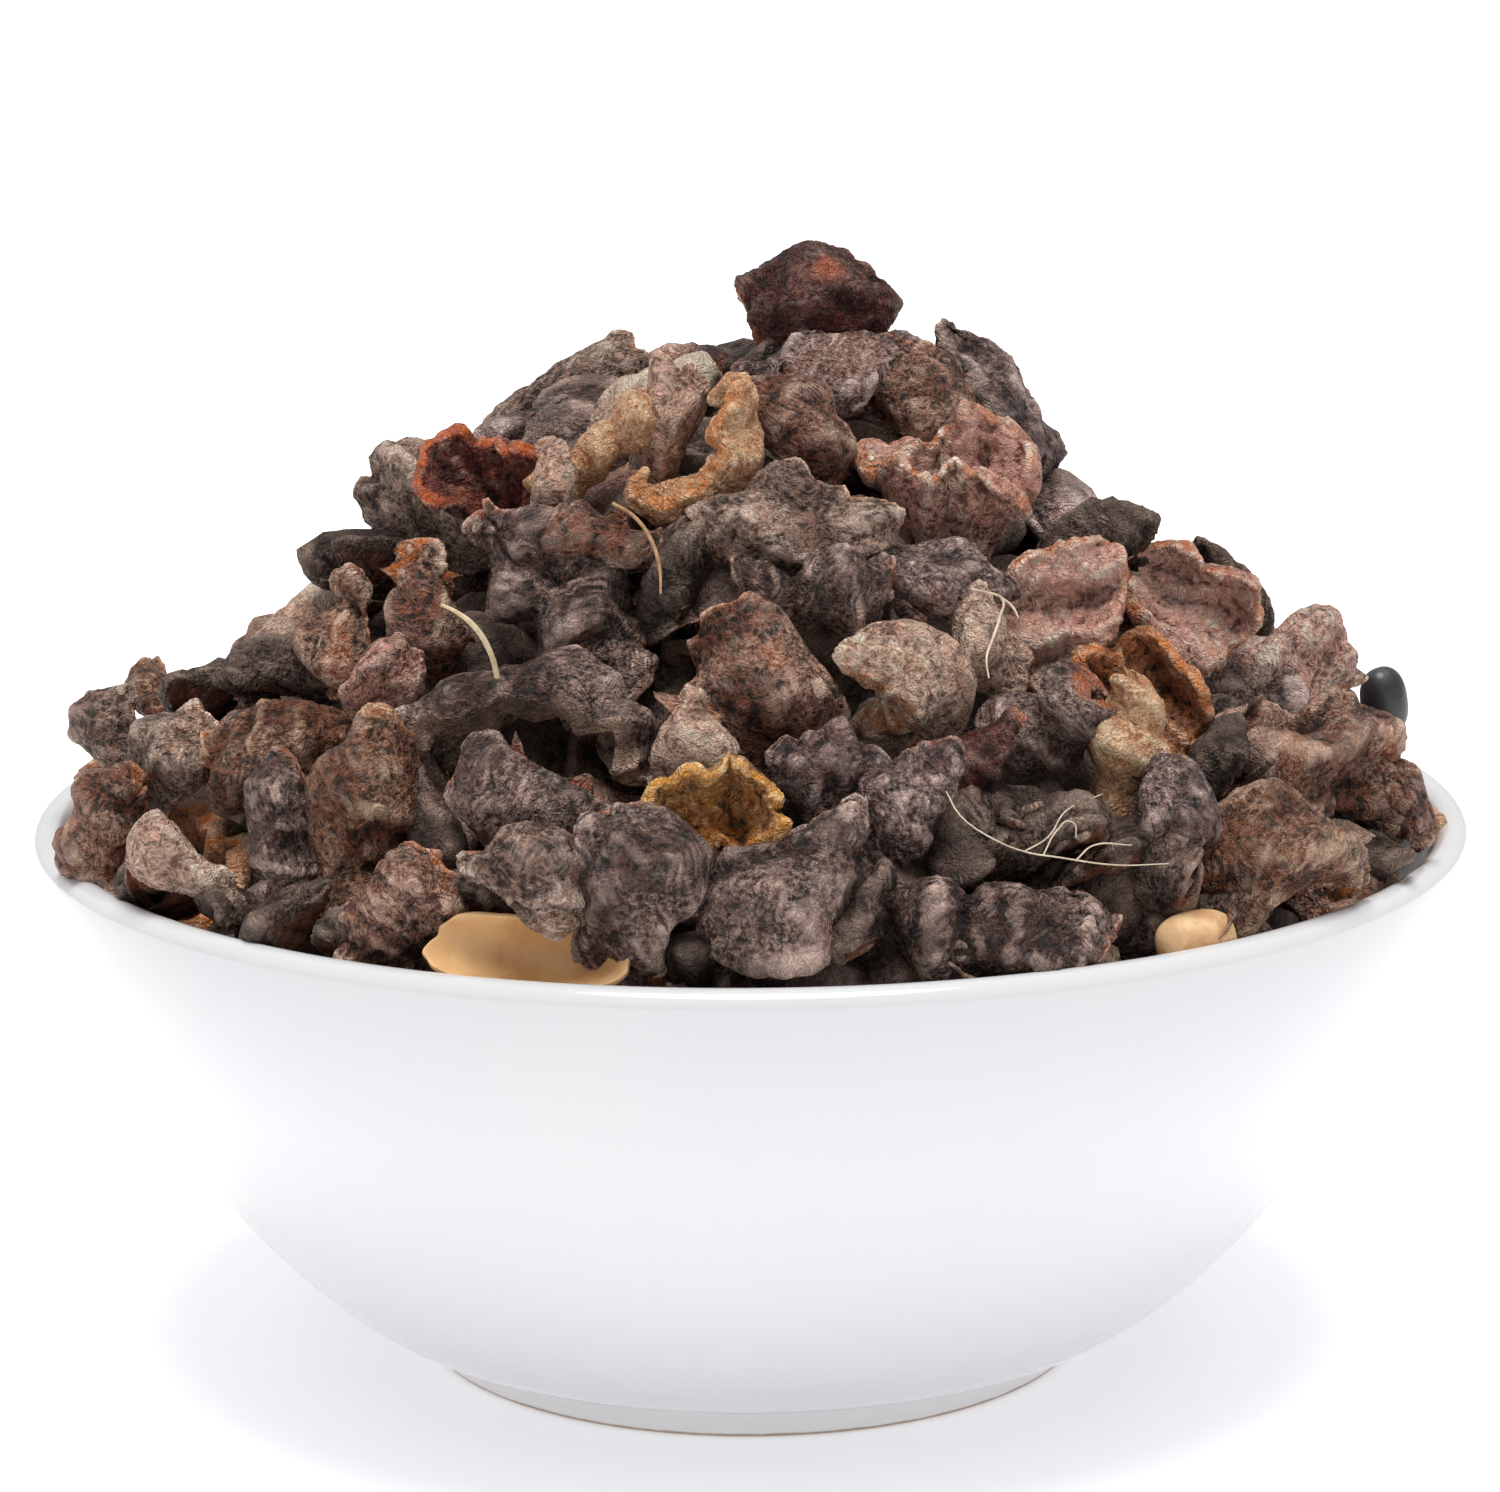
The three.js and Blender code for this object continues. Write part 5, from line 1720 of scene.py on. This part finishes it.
@dataclass
class FruitHeap:
    """Every piece of fruit in the bowl. Lengths are in millimetres and fold depths in metres."""

    fine_cuts: int = 30
    small_cuts: int = 22
    fine_length: float = 9.0
    bed_cuts: int = 14
    gap_cuts: int = 17
    gap_seed: int = 70
    gap_longer: float = 1.15
    gap_width: float = 13.5
    gap_sink: float = 1.5
    fill_cuts: int = 9
    core_cuts: int = 24
    core_radius: float = 46.0
    core_depth: float = 13.0
    core_foot: Pair = (12, 22)
    core_folds: float = 2
    core_seed: int = 500
    full_fold_size: float = 6.0
    net_depths: Pair = (0.0002, 0.00038)
    fine_depth: float = 0.0002
    pucker_depths: Pair = (0.0001, 0.0004)
    bed_depth: float = 0.0004
    bed_slot: str = "mixed_dried_skin"

    def __post_init__(self) -> None:
        """Makes what the pieces share."""
        self.heap = Heap(PieceMaker(FootedBowl().inner_wall()))
        self.folds = SkinFolds()
        self.own = {name: finish.material(name) for name, finish in OWN_FINISHES.items()}
        self.skins = {tone: finish.material(tone.value) for tone, finish in FRUIT_FINISHES.items()}

    def _listed(self, piece: Piece, seed: int) -> None:
        """Makes one listed piece, standing for its node.

        Args:
            piece: What it is.
            seed: Its seed.
        """
        cuts = self.fine_cuts if max(piece.size) > self.fine_length else self.small_cuts
        skin = self.heap.on_front(piece, seed, cuts)
        made = new_object(f"{piece.name}_fine", skin.mesh(piece.name))
        if piece.smooth():
            made.data.materials.append(HARD_FINISHES[piece.name].material(f"{piece.name}_finish"))
        else:
            thin = min(1.0, min(piece.size) / self.full_fold_size)
            depths = {
                "Net Depth": between(seed, Draw.NET_DEPTH, *self.net_depths) * thin,
                "Fine Depth": self.fine_depth * thin,
                "Pucker Depth": between(seed, Draw.PUCKER_DEPTH, *self.pucker_depths) * thin,
            }
            self.folds.apply(made, {**depths, "Skin": self.own.get(piece.name, self.skins[piece.tone])})
        dress(made, piece.tone.value, piece.name)

    def listed(self) -> None:
        """Makes every piece that is a node of its own."""
        for seed, piece in enumerate(STONES + CREST + LEFT_SIDE + MIDDLE + RIGHT_SIDE, start=1):
            self._listed(piece, seed)

    def bed(self) -> None:
        """Makes the unlisted pieces, one mesh for each shade, standing for the bed's node."""
        shades: dict[Tone, list[Skin]] = {}
        for scatter in (self.heap.slope, self.heap.ring):
            for tone, skin in self.heap.scattered(scatter, self.bed_cuts):
                shades.setdefault(tone, []).append(skin)
        for tone, skins in shades.items():
            self._bed_part(f"bed_{tone.name.lower()}", skins, self.skins[tone])
        # The gap scraps, the deep fill and the core take the darker copy of the skin as painted shade.
        shade = SHADED_GAP_FINISH.material("gap_skin_painted_shade")
        gaps = [self._gap(piece, self.gap_seed + index) for index, piece in enumerate(GAPS)]
        fill = [skin for _, skin in self.heap.scattered(self.heap.fill, self.fill_cuts)]
        self._bed_part("bed_gaps", gaps, shade)
        self._bed_part("bed_depths", [*fill, self._core()], shade)

    def _gap(self, piece: Piece, seed: int) -> Skin:
        """A scrap between the listed pieces, widened and turned edge-on.

        Args:
            piece: What it is.
            seed: Its seed.

        Returns:
            Its surface.
        """
        long, wide, _ = piece.size
        size = (long * self.gap_longer, self.gap_width, wide)
        deeper = replace(piece, size=size, out=piece.out - self.gap_sink, edge_on=True)
        return self.heap.on_front(deeper, seed, self.gap_cuts)

    def _core(self) -> Skin:
        """The crumpled mass below every other piece, seen only through the deepest gaps.

        Returns:
            Its surface.
        """
        ways, quads = ball(self.core_cuts)
        across, depth = ways[:, 0] * self.core_radius, ways[:, 1] * self.core_radius
        radius = np.hypot(across, depth)
        folded = self.core_folds * crumple(across, depth, self.core_seed)
        top = BOWL_HEIGHT + heap_rise(radius) - self.core_depth + folded
        foot, swell = self.core_foot
        low = foot + swell * (radius / self.core_radius) ** 2
        points = np.stack([across, depth, np.where(ways[:, 2] > 0, top, low)], axis=1)
        plain = np.zeros(len(points))
        return Skin(points, quads, points, plain, plain)

    def _bed_part(self, name: str, skins: list[Skin], finish: bpy.types.Material) -> None:
        """Makes one mesh of unlisted pieces.

        Args:
            name: Its name.
            skins: The pieces' surfaces.
            finish: Their material.
        """
        made = new_object(name, Skin.joined(skins).mesh(name))
        depths = {"Net Depth": self.bed_depth, "Fine Depth": self.fine_depth, "Pucker Depth": self.bed_depth}
        self.folds.apply(made, {**depths, "Skin": finish})
        dress(made, self.bed_slot, "heap_bed")


@dataclass(frozen=True)
class StrandSet:
    """Strands of one kind, lying on a piece.

    A path has places on the heap's front, as distances right of the middle and above the lip, or
    places in space, all in millimetres. out is how far off the front the first kind lies.
    """

    name: str
    paths: tuple[tuple[tuple[float, ...], ...], ...]
    radius: float
    out: float
    finish: str
    slot: str
    node: str

    def points(self) -> list[list[Triple]]:
        """The points of each strand in space.

        Returns:
            A list of points for each strand.
        """
        return [
            [place if len(place) == 3 else tuple(front_spot(*place, self.out)) for place in path]
            for path in self.paths
        ]


STALK = StrandSet(
    "arch_stalk",
    (
        (
            (-18.9, -34.2, 61.5), (-19.3, -34.7, 64.2), (-19.9, -35.3, 66.6),
            (-21.1, -35.8, 68.6), (-22.3, -36.0, 69.6), (-23.4, -36.2, 70.2),
        ),
    ),
    0.00022, 0.0, "stalk_skin", "dark_skin", "big_arch",
)
HAIRS = StrandSet(
    "white_hairs",
    (
        ((14.6, 11.6), (15.6, 10.2), (17.8, 8.9), (20.2, 8.0), (22.7, 7.5), (26.9, 6.7), (31.1, 6.3)),
        ((20.2, 8.0), (22.0, 8.6), (23.6, 9.9), (26.4, 10.5)),
        ((21.6, 7.7), (22.9, 9.0), (23.9, 9.3), (24.2, 8.4)),
        ((24.0, 7.2), (25.6, 7.9), (28.4, 7.6)),
    ),
    0.00006, 0.9, "fibre_pale", "mixed_dried_skin", "heap_bed",
)
FORKS = StrandSet(
    "forked_fibres",
    (
        ((17.2, 23.4), (18.6, 23.0), (19.6, 22.6), (19.4, 21.4), (18.8, 20.2), (18.2, 19.0), (18.3, 17.8)),
        ((19.6, 22.6), (20.4, 22.0), (20.9, 21.2)),
    ),
    0.00011, 0.6, "fibre_pale", "pale_flesh", "fan_hinge",
)
TWIST = StrandSet(
    "twisted_fibre",
    (((-10.6, 29.6), (-9.0, 28.9), (-7.6, 27.4), (-6.9, 25.6), (-6.8, 23.9)),),
    0.00016, 0.3, "fibre_tan", "brown_skin", "fibre_lump",
)


@dataclass
class Strands:
    """The pale stalk and the loose fibres that lie on the heap's front, each swept by a node tree."""

    steps: int = 24
    sides: int = 8
    taper: tuple[float, float, float, float] = (0.7, 1.0, 1.0, 0.6)

    def __post_init__(self) -> None:
        """Builds the sweeping tree with its named inputs."""
        self.tree = shaping_tree("thin strand", {"Radius": 0.0001, "Steps": self.steps, "Finish": None})
        graph = Graph(self.tree)
        given = graph.add("NodeGroupInput").outputs
        values = {"Curve": given["Geometry"], "Count": given["Steps"]}
        path = graph.add("GeometryNodeResampleCurve", values=values)
        along = graph.add("GeometryNodeSplineParameter").outputs["Factor"]
        radius = graph.times(graph.step(along, *self.taper), given["Radius"])
        thin = graph.add("GeometryNodeSetCurveRadius", values={"Curve": path.outputs[0], "Radius": radius})
        values = {"Resolution": self.sides, "Radius": 1.0}
        section = graph.add("GeometryNodeCurvePrimitiveCircle", values=values)
        values = {"Curve": thin.outputs[0], "Profile Curve": section.outputs[0], "Fill Caps": True}
        tube = graph.add("GeometryNodeCurveToMesh", values=values)
        if "Scale" in tube.inputs:
            self.tree.links.new(graph.add("GeometryNodeInputRadius").outputs[0], tube.inputs["Scale"])
        smooth = graph.add("GeometryNodeSetShadeSmooth", values={"Geometry": tube.outputs[0]})
        graph.end_shape(smooth.outputs[0], given["Finish"])

    def _sweep(self, strands: StrandSet, finish: bpy.types.Material) -> bpy.types.Object:
        """Sweeps smooth strands along their paths.

        Args:
            strands: The strands.
            finish: Their material.

        Returns:
            One plain mesh object.
        """
        curve = bpy.data.curves.new(strands.name, "CURVE")
        curve.dimensions = "3D"
        for points in strands.points():
            spline = curve.splines.new("BEZIER")
            spline.bezier_points.add(len(points) - 1)
            for handle, point in zip(spline.bezier_points, points):
                handle.co = Vector(point) * MM
                handle.handle_left_type = handle.handle_right_type = "AUTO"
        guide = new_object(f"{strands.name}_guide", curve)
        mesh = grown(self.tree, guide, {"Radius": strands.radius, "Finish": finish})
        bpy.data.objects.remove(guide)
        bpy.data.curves.remove(curve)
        mesh.name = strands.name
        return new_object(strands.name, mesh)

    def build(self) -> None:
        """Makes the stalk and the fibres."""
        made = {name: finish.material(name) for name, finish in STRAND_FINISHES.items()}
        for strands in (STALK, HAIRS, FORKS, TWIST):
            dress(self._sweep(strands, made[strands.finish]), strands.slot, strands.node)


# Stage, camera and light


@dataclass
class Studio:
    """The pale floor, the soft light and the camera, in metres and degrees."""

    elevation: float = 12.67
    roll: float = 0.36
    lens: float = 120.2
    sensor: float = 36
    distance: float = 0.42
    aim: Triple = (0.0, 0.0, 0.0509)
    horizon: float = 0.4
    zenith: float = 0.54
    behind: float = 0.2
    overhead: float = 2.8
    overhead_width: float = 32
    overhead_colour: Triple = (1.0, 0.985, 0.96)
    overhead_way: Triple = (-0.02, 0.12, -1.0)
    rise_band: Pair = (-0.05, 0.85)
    behind_band: Pair = (-0.5, 0.7)
    floor_half: float = 3.0

    def camera(self) -> None:
        """Sets the camera where the photograph was taken from."""
        tilt, turn = math.radians(self.elevation), math.radians(self.roll)
        back = Vector((0, -math.cos(tilt), math.sin(tilt)))
        right = Vector((1, 0, 0))
        up = back.cross(right)
        side = right * math.cos(turn) - up * math.sin(turn)
        top = right * math.sin(turn) + up * math.cos(turn)
        data = bpy.data.cameras.new("view")
        data.lens = self.lens
        data.sensor_width = self.sensor
        data.sensor_fit = "HORIZONTAL"
        data.clip_start = 0.01
        view = new_object("view", data)
        facing = Matrix((side, top, back)).transposed().to_4x4()
        view.matrix_world = Matrix.Translation(Vector(self.aim) + self.distance * back) @ facing
        bpy.context.scene.camera = view

    def floor(self) -> None:
        """Lays the plain pale floor, whose finish glows faintly as painted light."""
        mesh = bpy.data.meshes.new("floor")
        far = self.floor_half
        mesh.from_pydata([(-far, -far, 0), (far, -far, 0), (far, far, 0), (-far, far, 0)], [], [(0, 1, 2, 3)])
        mesh.materials.append(FLOOR_FINISH.material("floor_white"))
        floor = new_object("floor", mesh)

    def sun(self) -> None:
        """Sets one very wide, soft light almost overhead."""
        data = bpy.data.lights.new("overhead", "SUN")
        data.energy = self.overhead
        data.angle = math.radians(self.overhead_width)
        data.color = self.overhead_colour
        sun = new_object("overhead", data)
        sun.rotation_euler = Vector(self.overhead_way).to_track_quat("-Z", "Y").to_euler()

    def surroundings(self) -> None:
        """Sets the white surroundings, brighter overhead and behind, and the plain view transform."""
        world = bpy.data.worlds.new("surroundings")
        bpy.context.scene.world = world
        world.use_nodes = True
        graph = Graph(world.node_tree)
        aimed = graph.add("ShaderNodeTexCoord").outputs["Generated"]
        split = graph.add("ShaderNodeSeparateXYZ", values={"Vector": aimed}).outputs
        power = graph.step(split["Z"], *self.rise_band, self.horizon, self.zenith)
        power = graph.plus(power, graph.step(split["Y"], *self.behind_band, 0.0, self.behind))
        shine = world.node_tree.nodes["Background"]
        shine.inputs[0].default_value = (1, 1, 1, 1)
        world.node_tree.links.new(power, shine.inputs[1])
        view = bpy.context.scene.view_settings
        view.view_transform = "Standard"
        view.look = "None"

    def build(self) -> None:
        """Sets the whole studio."""
        self.camera()
        self.floor()
        self.sun()
        self.surroundings()


def main() -> None:
    """Builds the studio, the bowl and the heap in order."""
    logging.basicConfig(level=logging.INFO, format="%(name)s %(message)s")
    Studio().build()
    FootedBowl().build()
    fruit = FruitHeap()
    fruit.listed()
    fruit.bed()
    Strands().build()


if __name__ == "__main__":
    main()
